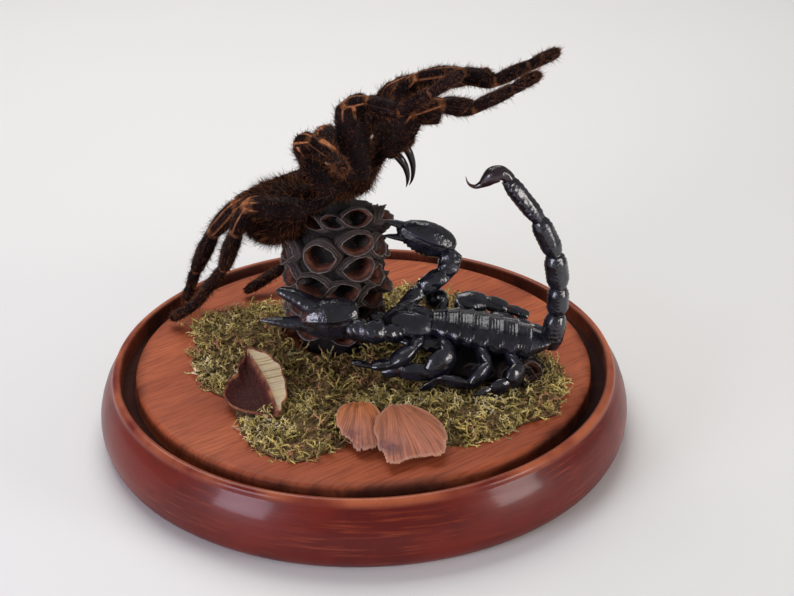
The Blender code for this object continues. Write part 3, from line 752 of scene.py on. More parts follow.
def follicle(bm, centre, out, width, tall, lift, seed):
    """Two gaping woody valves round a dark hollow, facing out."""
    right = Vector((0, 0, 1)).cross(out).normalized()
    up = out.cross(right)
    # Profile from the buried foot over the lip to the floor: (scale, height, lift share).
    profile = (
        (0.0, -5.6, 0), (1.16, -3.8, 0), (1.24, -1.2, 0.10), (1.22, -0.4, 0.34),
        (1.20, 0.2, 0.46), (1.14, -0.3, 0.50), (1.13, 0.3, 0.78), (1.10, 0.4, 0.82),
        (1.05, -0.3, 0.80), (1.04, 0.5, 1.12), (1.01, 0.6, 1.14), (0.96, 0.0, 0.92),
        (0.90, -0.7, 0.60), (0.86, -0.9, 0.50), (0.82, -2.6, 0.12), (0.72, -4.2, 0),
        (0.40, -5.0, 0), (0.0, -5.2, 0),
    )
    last = len(profile) - 1

    def point(u, v):
        scale, height, share = profile[round(v * last)]
        a = 2 * pi * u
        ca, sa = cos(a), sin(a)
        open_eye = 1.06 * abs(sa) ** 1.4
        wobble = 1 + 0.05 * rough((3 * ca, 3 * sa, seed), 1.6, seed)
        x = 0.5 * width * scale * wobble * ca
        y = 0.5 * tall * scale * wobble * (open_eye if sa > 0 else -open_eye)
        rise = lift * share * (0.45 + 0.55 * abs(sa) ** 0.8) * (1.12 if sa < 0 else 0.95)
        rise += 0.60 * rough((x, y, 5 * share), 1.3, seed) * (0.4 + share)
        curve = -(x * x) / (2.4 * CONE_RADIUS) * (1 - 0.5 * share)
        return centre + right * x + up * y + out * (height + rise + curve)

    skin(bm, 44, last, point)


def build_standing_cone(settings):
    bm = bmesh.new()
    rows = CONE_ROWS
    low, high = PLATEAU_TOP + MOSS_GAP, CONE_TOP
    mouths = all_follicles()

    def point(u, v):
        z = low + (high - low) * min(1.0, max(0.0, (v * rows - 1) / (rows - 2)))
        x, radius = cone_line(z)
        if v * rows < 0.5 or v * rows > rows - 0.5:
            return Vector((x, CONE_CENTRE[1], z))
        a = 2 * pi * u
        p = Vector((radius * sin(a), -radius * cos(a), z))
        radius += 0.9 * rough(p, 3.0) - 1.2
        # Each mouth is hollowed out of the core.
        for angle, height, wide, tall, _ in mouths:
            turn = (degrees(a) - angle + 180) % 360 - 180
            inside = (radians(turn) * CONE_RADIUS / wide) ** 2 + ((z - height) / tall) ** 2
            radius -= MOUTH_DEPTH * min(1.0, max(0.0, 3.0 * (0.235 - inside)) ** 0.5)
        return Vector((x + radius * sin(a), CONE_CENTRE[1] - radius * cos(a), z))

    skin(bm, 120, rows, point)
    core = closed_mesh("standing_cone_core", bm)
    dress("standing_cone_core", core, cone_core(settings), ("banksia_cone",))
    bm = bmesh.new()
    for i, (angle, z, width, tall, lift) in enumerate(mouths):
        a = radians(angle)
        x, radius = cone_line(z)
        tilt = 0.10 + (0.35 if z > 70 else 0.0)
        out = Vector((sin(a), -cos(a), tilt)).normalized()
        centre = Vector((x + (radius - 0.4) * sin(a), CONE_CENTRE[1] - (radius - 0.4) * cos(a), z))
        follicle(bm, centre, out, width, tall, lift, 1.7 * i)
    show("standing_cone_follicles", bm, cone_bark(settings))
    fuzz = fur_mesh("cone_fuzz", core, 5200, (0.8, 2.6), 0.07, 0.55, 11, jitter=0.5,
                    flow=lambda at: np.tile([0.2, 0.0, 1.0], (len(at), 1)))
    dress("standing_cone_fibres", fuzz, fibre_grey(settings))


def build_lying_cone(settings):
    low, high = (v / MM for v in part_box("lying_cone"))
    middle, half = (low + high) / 2, (high - low) / 2
    bm = bmesh.new()

    def shape(p, unit_point):
        p = p * (1 + 0.10 * rough(p, 4.0, 2.0))
        p.z = max(p.z - 0.09 * p.x, low.z + 0.1 - middle.z)
        return p

    blob(bm, middle, (half.x * 0.95, half.y * 0.94, half.z * 0.82), shape=shape,
         around=56, along=40)
    show("lying_cone_core", bm, cone_core(settings), ("lying_cone",))
    bm = bmesh.new()
    for i in range(15):
        a = radians(-100 + 15 * i + (9 if i % 2 else 0))
        b = 0.75 * sin(2.4 * i)
        out = Vector((cos(a) * 0.5 + 0.6 * b, sin(a) if i % 3 else -0.95, 0.42)).normalized()
        centre = middle + Vector((out.x * half.x * 0.86, out.y * half.y * 0.82,
                                  out.z * half.z * 0.7 - 0.09 * out.x * half.x))
        centre.z = max(centre.z, low.z + 2.4)
        follicle(bm, centre, out, 8.0 + 2 * sin(3 * i), 4.6 + sin(5 * i), 1.2, 3.1 * i)
    # The knot that shows at the near end, with rings round it.
    follicle(bm, Vector((58.5, -18.0, 28.6)), Vector((0.35, -0.75, 0.55)).normalized(),
             8.6, 7.4, 1.6, 5.5)
    show("lying_cone_follicles", bm, cone_bark(settings))
    # Broken twigs lie in front of it.
    twigs = bmesh.new()
    rng = np.random.default_rng(8)
    for i in range(26):
        x = 26 + 34 * rng.random()
        y = -20.5 + 5 * rng.random()
        z = 27.2 + 1.6 * rng.random()
        a = rng.normal(0, 0.7)
        size = 3.5 + 3.5 * rng.random()
        points = []
        for k in range(4):
            s = k / 3
            points.append((x + size * s * cos(a), y + size * s * sin(a) + 0.5 * sin(3 * s + i),
                           z + 0.9 * sin(2.4 * s + i), 0.55 * (1 - 0.6 * s)))
        rope(twigs, points, around=6, rows=3)
    show("lying_cone_twigs", twigs, twig_bark(settings))


def twig_bark(settings):
    look = Look("dry_twigs", roughness=0.7)
    grit = look.noise(look.place(), 600.0, 3.0)
    colour = look.ramp(grit, (0.35, settings.twig_dark), (0.7, settings.twig_light))
    return look.set(Base_Color=colour, Normal=look.bump(grit, 0.6, 0.3))


# Seed pod and bract scales.

def smooth_outline(marks):
    """Radius at an angle, eased between (degrees, radius) marks round a closed outline."""
    marks = sorted(marks)

    def radius(angle):
        a = (angle * 180 / pi) % 360
        for i, (d0, r0) in enumerate(marks):
            d1, r1 = marks[(i + 1) % len(marks)]
            span = (d1 - d0) % 360
            if (a - d0) % 360 <= span:
                s = ((a - d0) % 360) / span
                return r0 + (r1 - r0) * s * s * (3 - 2 * s)
        return marks[0][1]

    return radius


def flake(bm, centre, outline, top, bottom, around, rings, marks):
    """A flat-lying piece: top and bottom surfaces inside an outline, joined at its edge.

    Each of the marks gives a vertex value by rule(x, y, share, upper).
    """
    layers = {key: bm.verts.layers.float.new(key) for key in marks}

    def point(u, v):
        a = 2 * pi * u
        share = 1 - abs(2 * v - 1)
        share = sin(share * pi / 2) ** 0.8
        reach = share * outline(a)
        x, y = centre[0] + reach * cos(a), centre[1] + reach * sin(a)
        upper = v > 0.5001
        if abs(v - 0.5) < 0.001:
            return Vector((x, y, (top(x, y, 1.0) + bottom(x, y, 1.0)) / 2))
        return Vector((x, y, (top if upper else bottom)(x, y, share)))

    for vert in skin(bm, around, 2 * rings, point):
        if vert.is_valid:
            x, y, z = vert.co / MM
            share = min(1.0, hypot(x - centre[0], y - centre[1])
                        / outline(atan2(y - centre[1], x - centre[0])))
            upper = z > bottom(x, y, share) + 0.05
            for key, rule in marks.items():
                vert[layers[key]] = rule(x, y, share, upper)


def build_seed_pod(settings):
    outline = smooth_outline(
        ((-90, 13.8), (-68, 16.6), (-62, 17.6), (-40, 13.0), (0, 10.5), (30, 10.8),
         (62, 14.5), (86, 18.4), (99, 20.4), (112, 14.4), (140, 8.8), (172, 9.8),
         (210, 12.0), (240, 13.2))
    )

    def plane(x, y):
        return 29.6 + 0.17 * (y + 26.0) - 0.04 * (x + 37.0)

    def ridge(x, y):
        along = (y + 41.0) / 34.0
        return x - (-28.6 - 13.6 * along + 1.6 * sin(3.0 * along))

    def top(x, y, share):
        d = ridge(x, y)
        lip = 1.2 * exp(-((d / 0.8) ** 2)) + 0.6 * share ** 12
        hollow = -3.1 * (1 - share ** 6) * min(1.0, max(0.0, -d / 2.6))
        crown = 0.5 * (1 - share ** 2) * min(1.0, max(0.0, d / 3.0))
        level = plane(x, y) + lip + hollow + crown + 0.12 * rough((x, y, 0), 1.2)
        return max(level, bottom(x, y, share) + 0.25)

    def bottom(x, y, share):
        return max(plane(x, y) - 0.8 - 4.6 * (1 - share ** 4), PLATEAU_TOP + 0.9)

    bm = bmesh.new()
    flake(bm, POD_CENTRE, outline, top, bottom, 120, 30, {
        "part": lambda x, y, share, upper: 1.0 if ridge(x, y) > 0 else 0.0,
        "rim": lambda x, y, share, upper: float(upper) * max(
            exp(-((ridge(x, y) / 0.65) ** 2)), 1.0 if share > 0.955 else 0.0),
        "back": lambda x, y, share, upper: 0.0 if upper else 1.0,
    })
    show("seed_pod_shell", bm, pod_skin(settings), ("seed_pod",))


def ragged(angle, low, high, depth, seed):
    """Notches of an outline between two angles, in degrees, where the edge is torn."""
    a = (angle * 180 / pi + 360) % 360
    if low < a < high:
        n = noise.noise(Vector((a * 0.16, seed, 0))) + 0.6 * noise.noise(Vector((a * 0.55, seed, 3)))
        return -depth * abs(n)
    return 0.0


def build_bracts(settings):
    left = smooth_outline(
        ((-82, 17.4), (-66, 16.6), (-30, 9.6), (0, 8.4), (45, 8.0), (80, 7.4), (105, 7.2),
         (140, 7.2), (187, 6.6), (225, 7.8), (258, 11.4))
    )
    right = smooth_outline(
        ((-128, 11.6), (-105, 16.4), (-85, 13.4), (-65, 12.4), (-38, 17.0), (-18, 15.0),
         (13, 13.6), (45, 12.6), (75, 13.4), (105, 13.8), (135, 12.0), (160, 10.4), (195, 9.2))
    )

    def scale(name, centre, foot, outline, dome, step, torn, material, node):
        def top(x, y, share):
            crown = dome * (1 - share ** 2) + 0.25 * sin(0.9 * x) * share
            ray = atan2(x - foot[0], foot[1] - y)
            fold = (0.30 * sin(13 * ray) + 0.16 * sin(31 * ray)) * (0.3 + 0.7 * share)
            plane = 25.9 + 0.19 * max(0.0, y + 70.3)
            return plane + step + 0.45 + crown + fold + 0.14 * rough((x, y, 1), 1.5, 2.0)

        def edge(angle):
            return outline(angle) + ragged(angle, *torn)

        bm = bmesh.new()
        flake(bm, centre, edge, top, lambda x, y, s: top(x, y, s) - 0.5, 200, 24, {
            "tip": lambda x, y, share, upper: min(1.0, max(0.0, (centre[1] + 8 - y) / 18)),
            "fan": lambda x, y, share, upper: atan2(x - foot[0], foot[1] - y),
            "edge": lambda x, y, share, upper: share,
        })
        show(name, bm, material, (node,))

    scale("bract_scale_left", (-2.0, -48.2), (-1.0, -36.2), left, 1.2, 0.0, (245, 320, 2.8, 1.0),
          bract_skin(settings, "bract_orange", settings.bract_pink, settings.bract_orange,
                     settings.bract_brown, (0.0, -60.0)), "bract_left")
    scale("bract_scale_right", (14.0, -57.4), (9.0, -38.4), right, 1.5, 1.2, (225, 345, 2.0, 4.0),
          bract_skin(settings, "bract_pink", settings.bract_pink, settings.bract_tan,
                     settings.bract_brown, (8.5, -66.0)), "bract_right")


# The tarantula.

def spider_skin(settings):
    look = Look("tarantula_skin", roughness=0.5, Specular_IOR_Level=0.06)
    joint = look.attribute("joint")
    stripe = look.attribute("stripe")
    place = look.place()
    grit = look.noise(place, 800.0, 3.0)
    patch = look.noise(place, 160.0, 3.0)
    colour = look.mix(look.band(patch, 0.4, 0.65), settings.skin_dark, settings.skin_brown)
    orange = look.mix(look.band(grit, 0.35, 0.7), settings.stripe, settings.membrane)
    colour = look.mix(look.band(stripe, 0.1, 0.6), colour, orange)
    colour = look.mix(look.band(joint, 0.45, 0.9) * look.band(patch, 0.3, 0.55), colour, orange)
    return look.set(Base_Color=colour, Roughness=0.42 + grit * 0.3,
                    Normal=look.bump(grit, 0.5, 0.2))


def spider_hair(settings, name="tarantula_hair", glow=0.0):
    """Hair with a dark root, rust and gold tips partly painted as glints; glow brings those tips to
    more hairs.
    """
    look = Look(name, roughness=0.6, Specular_IOR_Level=0.02)
    tip, tone = look.attribute("tip"), look.attribute("tone")
    root = look.mix(tone, settings.hair_black, settings.hair_brown)
    ends = look.ramp(tone, (0.0, settings.hair_black), (0.35 - glow, settings.hair_brown),
                     (0.7 - glow, settings.hair_rust_and_glint), (1.0, settings.hair_gold_and_glint))
    return look.set(Base_Color=look.mix(look.band(tip, 0.15, 0.95), root, ends))


def fang_gloss(settings):
    look = Look("fang_gloss", roughness=0.12, Specular_IOR_Level=0.45)
    streak = look.noise(look.mapped(look.place(), (300, 300, 60)), 3.0, 2.0)
    colour = look.mix(streak, settings.fang_black, settings.fang_brown)
    return look.set(Base_Color=colour, Normal=look.bump(streak, 0.08, 0.1))


SPIDER_PITCH = radians(38)
SPIDER_CENTRE = (-2.8, 16.0, 93.2)
ABDOMEN_PITCH = radians(29)
ABDOMEN_CENTRE = (-29.4, 18.0, 76.0)

# Radii of a leg's six segments from its coxa on, and the thicker femurs of two legs.
LEG_RADII = (2.8, 4.7, 4.1, 3.7, 2.9, 2.5)
FEMUR_RADII = {"right_1": 5.8, "right_2": 6.5}

# Where the coxae leave the carapace: along it and out from its middle line, then how far in
# they start and how far below its middle.
COXA_ALONG = {"1": 9.6, "2": 3.8, "3": -2.4, "4": -8.4}
COXA_OUT = {"1": 9.0, "2": 10.6, "3": 10.8, "4": 9.8}
COXA_SINK = 2.8
COXA_RISE = -1.4

# Joints of each leg after its coxa: trochanter, knee, patella end, tibia end, metatarsus end
# and tip. Right legs are the near ones, on the -Y side.
SPIDER_LEGS = {
    "right_4": ((-18.6, 1.2, 83.8), (-38.2, -2.8, 87.6), (-43.2, 1.5, 76.4),
                (-49.3, 11.5, 57.0), (-61.8, 23.5, 35.4), (-71.4, 27.6, 27.2)),
    "left_4": ((-17.6, 34.6, 82.0), (-45.6, 36.6, 69.4), (-55.2, 38.5, 57.6),
               (-63.2, 43.0, 39.8), (-65.6, 44.0, 32.4), (-67.6, 42.0, 27.2)),
    "left_3": ((-8.0, 34.0, 91.0), (-13.0, 44.0, 95.0), (-19.0, 49.0, 84.0),
               (-25.5, 54.5, 56.0), (-30.2, 56.5, 33.8), (-45.6, 48.8, 27.0)),
    "right_3": ((-10.6, -1.0, 92.0), (-20.0, -1.2, 110.0), (-15.4, -6.2, 112.6),
                (-8.4, -14.4, 110.8), (-6.0, -22.0, 111.5), (-4.6, -29.0, 113.0)),
    "right_2": ((-0.6, -2.0, 97.6), (-3.4, -1.0, 123.2), (3.0, -2.0, 125.0),
                (14.0, -8.5, 124.4), (24.4, -16.0, 133.8), (34.2, -22.0, 143.2)),
    "left_2": ((1.2, 36.0, 98.2), (12.6, 36.4, 115.0), (20.6, 39.6, 115.0),
               (31.0, 45.0, 113.0), (40.0, 51.0, 112.0), (47.0, 56.0, 112.5)),
    "left_1": ((8.2, 27.4, 105.4), (20.4, 24.4, 122.4), (34.4, 18.2, 126.8),
               (46.7, 16.2, 124.8), (58.2, 15.0, 130.8), (68.2, 15.0, 136.0)),
    "right_1": ((8.2, 3.4, 104.6), (18.6, 2.6, 118.6), (28.0, 3.0, 121.8),
                (38.8, 3.0, 120.4), (52.0, 2.4, 127.4), (61.0, 2.0, 133.0)),
}


def coxa(side):
    """The first joint of a leg, at the side of the pitched carapace."""
    hand, number = side.split("_")
    # The coxa starts inside the carapace, so that the coats run together.
    out = (COXA_OUT[number] - COXA_SINK) * (-1 if hand == "right" else 1)
    along, up = COXA_ALONG[number], COXA_RISE
    x = SPIDER_CENTRE[0] + along * cos(SPIDER_PITCH) - up * sin(SPIDER_PITCH)
    z = SPIDER_CENTRE[2] + along * sin(SPIDER_PITCH) + up * cos(SPIDER_PITCH)
    return (x, SPIDER_CENTRE[1] + out, z)


# How far each segment's skin shrinks under its coat, and how pale the hair is at each joint.
COAT_DEPTH = (0.80, 0.84, 0.86, 0.84, 0.84, 0.90)
PALE_HAIR = (0.0, 0.0, 0.0, 0.0, 0.22, 0.46, 0.50)

# Bare lines on the femur, patella and tibia: how bright, at which angles and how wide. Those of
# the femur show only at the knee, and those of the third right leg are stronger.
STRIPES = {1: 0.0, 2: 0.55, 3: 0.16}
STRIPE_ANGLES = (-1.7, -0.75, 0.2, 1.3)
STRIPE_WIDTH = 0.10
STRONG_STRIPES = {"right_3": 1.8}


def leg_swell(i, t):
    """Share of a leg segment's radius at a place along it."""
    body = 0.70 + 0.34 * sin(pi * min(1.0, max(0.0, t))) ** 0.5
    if i >= 4:
        body = 0.86 + 0.14 * sin(pi * t) ** 0.5
    if i == 5 and t > 0.8:
        body *= 1 - 0.35 * ((t - 0.8) / 0.2) ** 2
    return body * COAT_DEPTH[i]


def build_leg(settings, side, looks):
    joints = (coxa(side), *SPIDER_LEGS[side])
    radii = list(LEG_RADII)
    radii[1] = FEMUR_RADII.get(side, radii[1])
    bm = bmesh.new()
    joint_layer = bm.verts.layers.float.new("joint")
    stripe_layer = bm.verts.layers.float.new("stripe")

    def relief(i, t, a):
        # Lengthwise bare ridges on the femur, patella and tibia.
        ridge = 0.45 * max(0.0, cos(2 * (a - 1.2))) ** 4 if i in (1, 2, 3) else 0.0
        return ridge - 0.20 * abs(sin(2 * a + i)) + 0.12 * sin(9 * t + 5 * a)

    live = limb(bm, joints, radii, leg_swell, around=44, rows=14, relief=relief, flat=0.92)
    marks = [Vector(j) for j in joints]
    for vert in live:
        p = vert.co / MM
        near = min((p - m).length / r for m, r in zip(marks[2:-1], radii[2:]))
        vert[joint_layer] = max(0.0, 1.3 - near)
        for i, strength in STRIPES.items():
            a, b = marks[i], marks[i + 1]
            ahead = (b - a).normalized()
            t = (p - a).dot(ahead) / (b - a).length
            if -0.05 < t < 1.05:
                off = p - a - ahead * (p - a).dot(ahead)
                side_up = Vector((0, 0, 1)) - ahead * ahead.z
                angle = atan2(off.dot(ahead.cross(side_up)), off.dot(side_up))
                lines = max(exp(-(((angle - at) / STRIPE_WIDTH) ** 2)) for at in STRIPE_ANGLES)
                if i == 1:
                    strength += 0.75 * max(0.0, (t - 0.8) / 0.2)
                strength *= STRONG_STRIPES.get(side, 1.0)
                vert[stripe_layer] = max(vert[stripe_layer], min(1.0, strength * lines))
    name = "tarantula_leg_" + side
    mesh = closed_mesh(name, bm)
    seed = sorted(SPIDER_LEGS).index(side) * 7
    ends = np.array([[*m] for m in marks])

    def bare(centre, normal):
        # Fewer hairs grow round the joints.
        gap = np.min(np.linalg.norm(centre[:, None] - ends[None, 1:-1], axis=2), axis=1)
        return np.where(gap < 2.6, 0.14, 1.0)

    def taupe(at):
        # Each hair takes the tone of its nearest joint: the last two segments are paler.
        away = np.linalg.norm(at[:, None] - ends[None], axis=2)
        return np.array(PALE_HAIR)[np.argmin(away, axis=1)]

    short = fur_mesh(name + "_short", mesh, settings.leg_hairs, (0.8, 1.8), 0.11, 0.70,
                     seed, bare, rows=2, jitter=0.28, gold=taupe)
    long = fur_mesh(name + "_long", mesh, settings.leg_hairs // 3, (1.2, 3.8), 0.075, 0.42,
                    seed + 1, bare, rows=3, jitter=0.40,
                    gold=lambda at: 0.18 + taupe(at))
    dress(name + "_skin", mesh, looks[0], (name,))
    dress(name + "_coat", joined(name + "_coat", (short, long)), looks[1])


def build_spider_legs(settings):
    looks = (spider_skin(settings), spider_hair(settings))
    for side in SPIDER_LEGS:
        build_leg(settings, side, looks)


def coated(name, bm, looks, short, long, seed, flow):
    """Shows a furry body: its skin, with a short and a long coat as one mesh.

    Each coat is a count of hairs with their least and greatest length.
    """
    for key in ("joint", "stripe"):
        bm.verts.layers.float.new(key)
    mesh = closed_mesh(name, bm)
    under = fur_mesh(name + "_under", mesh, *short, 0.09, 0.72, seed, rows=2, flow=flow,
                     jitter=0.25)
    over = fur_mesh(name + "_over", mesh, *long, 0.08, 0.42, seed + 1, rows=3, flow=flow,
                    jitter=0.4, gold=0.2)
    dress(name + "_skin", mesh, looks[0], (name,))
    dress(name + "_coat", joined(name + "_coat", (under, over)), looks[1])


def build_spider_body(settings):
    looks = (spider_skin(settings), spider_hair(settings, "body_hair", 0.1))

    def carapace(p, unit_point):
        width = (1.0 - 0.1 * unit_point.x) * (1.0 + 0.24 * unit_point.x ** 2)
        below = 1.55 - 0.75 * max(0.0, unit_point.x)
        furrow = -0.8 * exp(-((unit_point.y / 0.10) ** 2)) if unit_point.z > 0 else 0.0
        q = Vector((p.x, p.y * width, p.z * (1.0 if unit_point.z > 0 else below) + furrow))
        return q * (1 + 0.03 * rough(q, 3.0))

    bm = bmesh.new()
    blob(bm, SPIDER_CENTRE, (12.8, 8.9, 6.0), (0, -SPIDER_PITCH, 0), carapace, 40, 28)
    back = -Vector((cos(SPIDER_PITCH), 0, sin(SPIDER_PITCH)))
    coated("tarantula_carapace", bm, looks, (8200, (1.0, 2.4)), (3600, (2.0, 4.6)), 60,
           lambda at: np.tile([back.x, 0.0, back.z], (len(at), 1)))

    def abdomen(p, unit_point):
        waist = 1 + 0.22 * max(0.0, unit_point.x - 0.9) / 0.1
        q = Vector((p.x * waist, p.y * (1 - 0.12 * unit_point.x), p.z * (1 - 0.1 * unit_point.x)))
        return q * (1 + 0.05 * rough(q, 5.0, 4.0))

    bm = bmesh.new()
    blob(bm, ABDOMEN_CENTRE, (13.6, 11.0, 10.6), (0, -ABDOMEN_PITCH, 0), abdomen, 48, 34)
    coated("tarantula_abdomen", bm, looks, (11500, (1.2, 2.6)), (4600, (2.4, 5.4)), 70,
           lambda at: np.tile([-0.9, 0.0, -0.5], (len(at), 1)))


def build_spider_jaws(settings):
    looks = (spider_skin(settings), spider_hair(settings, "jaw_hair", 0.25))
    for side, y, out in (("right", 12.2, -1), ("left", 18.6, 1)):
        palp = ((7.6, y - 0.6 * out, 106.4), (12.6, y + 0.2 * out, 110.2),
                (15.6, y + 0.6 * out, 112.6), (19.4, y + 0.9 * out, 113.6),
                (27.4, y + 1.0 * out, 113.4))
        if side == "left":
            palp = tuple((px, py, pz - 0.8) for px, py, pz in palp)
        bm = bmesh.new()
        limb(bm, palp, (2.0, 1.7, 2.0, 2.35), lambda i, t: 0.8 + 0.2 * sin(pi * t) ** 0.6, 14, 9)
        coated("tarantula_palp_" + side, bm, looks, (1400, (0.8, 1.6)), (500, (1.4, 2.8)),
               80 + out, lambda at: np.tile([1.0, 0.0, 0.2], (len(at), 1)))
        bm = bmesh.new()
        blob(bm, (14.0, 16.2 + 3.7 * out, 104.2), (4.9, 3.0, 3.1), (0, -radians(14), 0),
             around=24, along=18)
        coated("tarantula_chelicera_" + side, bm, looks, (1500, (0.8, 1.4)), (800, (1.0, 2.2)),
               90 + out, lambda at: np.tile([0.95, 0.0, -0.15], (len(at), 1)))
    fangs = {
        "right": ((11.4, 12.0, 100.8, 1.3), (12.9, 11.8, 99.4, 1.5), (14.4, 11.6, 97.6, 1.45),
                  (15.8, 11.6, 95.0, 1.2), (16.5, 11.6, 91.8, 0.85), (16.4, 11.6, 89.4, 0.5),
                  (16.0, 11.6, 87.4, 0.12)),
        "left": ((15.4, 20.0, 99.6, 1.3), (16.6, 20.4, 97.6, 1.5), (17.6, 20.4, 95.4, 1.35),
                 (18.4, 20.4, 92.2, 1.1), (18.5, 20.4, 88.8, 0.78), (18.0, 20.4, 86.0, 0.48),
                 (17.1, 20.4, 84.0, 0.12)),
    }
    gloss = fang_gloss(settings)
    for side, points in fangs.items():
        bm = bmesh.new()
        rope(bm, points, around=16, rows=6)
        show("tarantula_fang_%s_blade" % side, bm, gloss, ("tarantula_fang_" + side,))


# The scorpion.

def chitin(settings, name, grain=1.0, warm=0.0, gloss=0.7):
    """Black shell: grain deepens its relief, and warm is its share of the sting's red."""
    look = Look(name, roughness=0.25, Specular_IOR_Level=gloss, Coat_Weight=0.1,
                Coat_Roughness=0.12)
    place = look.place()
    grit = look.noise(place, 1500.0, 3.0)
    bumps = look.cells(place, 850.0)
    dents = look.noise(place, 420.0, 2.0)
    dust_and_sheen = look.noise(place, 240.0, 4.0)
    # Dusty patches, tinted blue as a painted sheen; the black shell's blue tint is partly painted
    # sheen too.
    colour = look.mix(look.band(dust_and_sheen, 0.42, 0.70) * 0.8, settings.shell_black, settings.shell_dust_and_sheen)
    red = look.mix(look.band(grit, 0.4, 0.65), settings.joint_red, settings.shell_black)
    colour = look.mix(look.attribute("joint"), colour, red)
    if warm:
        colour = look.mix(warm, colour, settings.sting_red)
    rough_map = look.band(dust_and_sheen, 0.35, 0.75) * 0.14 + 0.15
    height = grit * 0.5 + bumps * 0.5 + dents * 1.1
    return look.set(Base_Color=colour, Roughness=rough_map,
                    Normal=look.bump(height, 0.6 * grain, 0.25))


def shelled(name, bm, material, node, joints=(), reach=1.0):
    """Shows a piece of the scorpion, reddish within reach of its joints, in mm."""
    layer = bm.verts.layers.float.new("joint")
    marks = [Vector(j[:3]) for j in joints]
    for vert in bm.verts:
        p = vert.co / MM
        if marks:
            vert[layer] = max(0.0, 1 - min((p - m).length for m in marks) / reach)
    return show(name, bm, material, (node,))


SCORPION_SLOPE = radians(14)
SCORPION_MIDDLE = Vector((46.2, -8.0, 38.2))
# Back plates: how far along the body each ends, and its girth there.
PLATES = (-23.0, -17.8, -13.4, -8.6, -3.4, 2.0, 7.4, 12.8, 20.6)
GIRTHS = (7.0, 8.6, 9.8, 10.4, 10.7, 10.6, 10.0, 8.6, 3.5)
BACK_ROWS = 190


def plate_at(s):
    """Girth at a place along the back, and the share of its plate that lies before it."""
    for i in range(len(PLATES) - 1):
        a, b = PLATES[i], PLATES[i + 1]
        if s <= b:
            t = (s - a) / (b - a)
            return GIRTHS[i] + (GIRTHS[i + 1] - GIRTHS[i]) * t, t
    return GIRTHS[-1], 1.0


def build_scorpion_body(settings):
    look = chitin(settings, "scorpion_chitin")
    bm = bmesh.new()

    def head(p, unit_point):
        ux, uy, uz = unit_point
        width = (0.84 if ux < -0.7 else 1.0) * (1 + 0.12 * ux)
        q = Vector((p.x, p.y * width, p.z))
        if uz > 0:
            q.z -= 1.0 * exp(-((uy / 0.12) ** 2)) * (0.4 + 0.6 * abs(ux))
            q.z += 0.7 * exp(-(((abs(uy) - 0.45) / 0.22) ** 2)) * (1 - ux * ux)
            q.z -= 1.2 * exp(-((ux + 0.95) ** 2 / 0.05)) * exp(-((uy / 0.3) ** 2))
            q.z += 0.28 * rough(q, 1.6) + 0.5 * rough(q, 4.0, 2.0)
        # The two eyes stand near the middle.
        for eye in (-0.9, 0.9):
            q.z += 0.6 * exp(-(((q.x + 1.2) ** 2 + (q.y - eye) ** 2) / 0.28))
        return q

    blob(bm, (16.8, -8.0, 43.9), (10.2, 8.4, 5.7), (0, radians(5), 0), head, 72, 56)
    # Below the shield the hips of the legs meet in one dark mass.
    blob(bm, (24.0, -8.2, 38.6), (13.0, 9.4, 4.0), (0, radians(8), 0),
         lambda p, unit_point: p * (1 + 0.14 * rough(p, 2.6, 5.0)), 48, 32)
    shelled("scorpion_head_shield", bm, look, "scorpion_carapace", ((19, -15.4, 41.6),), 2.0)

    rows = BACK_ROWS
    bm = bmesh.new()
    tilt = Euler((0, radians(90) + SCORPION_SLOPE, 0)).to_matrix()
    first, last = PLATES[0], PLATES[-1]

    def point(u, v):
        s = first + (last - first) * min(1.0, max(0.0, (v * rows - 1) / (rows - 2)))
        r, t = plate_at(s)
        # The last plate narrows and swings up to meet the tail.
        swing = max(0.0, (s - PLATES[-2]) / (last - PLATES[-2]))
        offset = Vector((-1.6 * swing ** 2, 2.2 * swing, 0))
        if v * rows < 0.5 or v * rows > rows - 0.5:
            return SCORPION_MIDDLE + tilt @ (offset + Vector((0, 0, s)))
        a = 2 * pi * u
        x, y = cos(a), sin(a)
        upper = max(0.0, -x)
        flank = 1 - min(1.0, 3 * upper)
        lap = 0.9 * t ** 2.4 - 0.4 + (0.2 if 0.86 < t < 0.97 else 0.0)
        r += lap * (1 - 0.6 * flank) - 0.9 * flank * (0.6 + 0.4 * sin(2 * pi * t))
        # Fine ridges across each plate, and a low keel down the middle.
        r += 0.05 * sin(2 * pi * 5 * t) * min(1.0, 2 * upper) * (t < 0.84)
        depth = 0.66 if x < 0 else 0.50
        keel = 0.25 * exp(-((y / 0.10) ** 2)) * upper
        q = Vector((depth * r * x - keel, r * y, s)) + offset
        q.x += 0.10 * rough((q.x, q.y, q.z), 2.4)
        return SCORPION_MIDDLE + tilt @ q

    skin(bm, 84, rows, point)
    shelled("scorpion_back_plates", bm, chitin(settings, "back_chitin", 0.8, gloss=0.5),
            "scorpion_abdomen")


TAIL_JOINTS = ((66.4, -6.0, 32.2), (68.6, -5.2, 45.4), (68.9, -5.0, 56.0), (67.2, -5.0, 68.8),
               (61.4, -5.0, 82.2), (50.2, -5.0, 97.6))
TAIL_RADII = (3.9, 3.7, 3.9, 3.6, 3.1)


def tail_swell(i, t):
    """Share of a tail segment's radius at a place along it."""
    ends = min(t, 1 - t)
    return 0.70 + 0.34 * min(1.0, ends / 0.24) ** 0.6


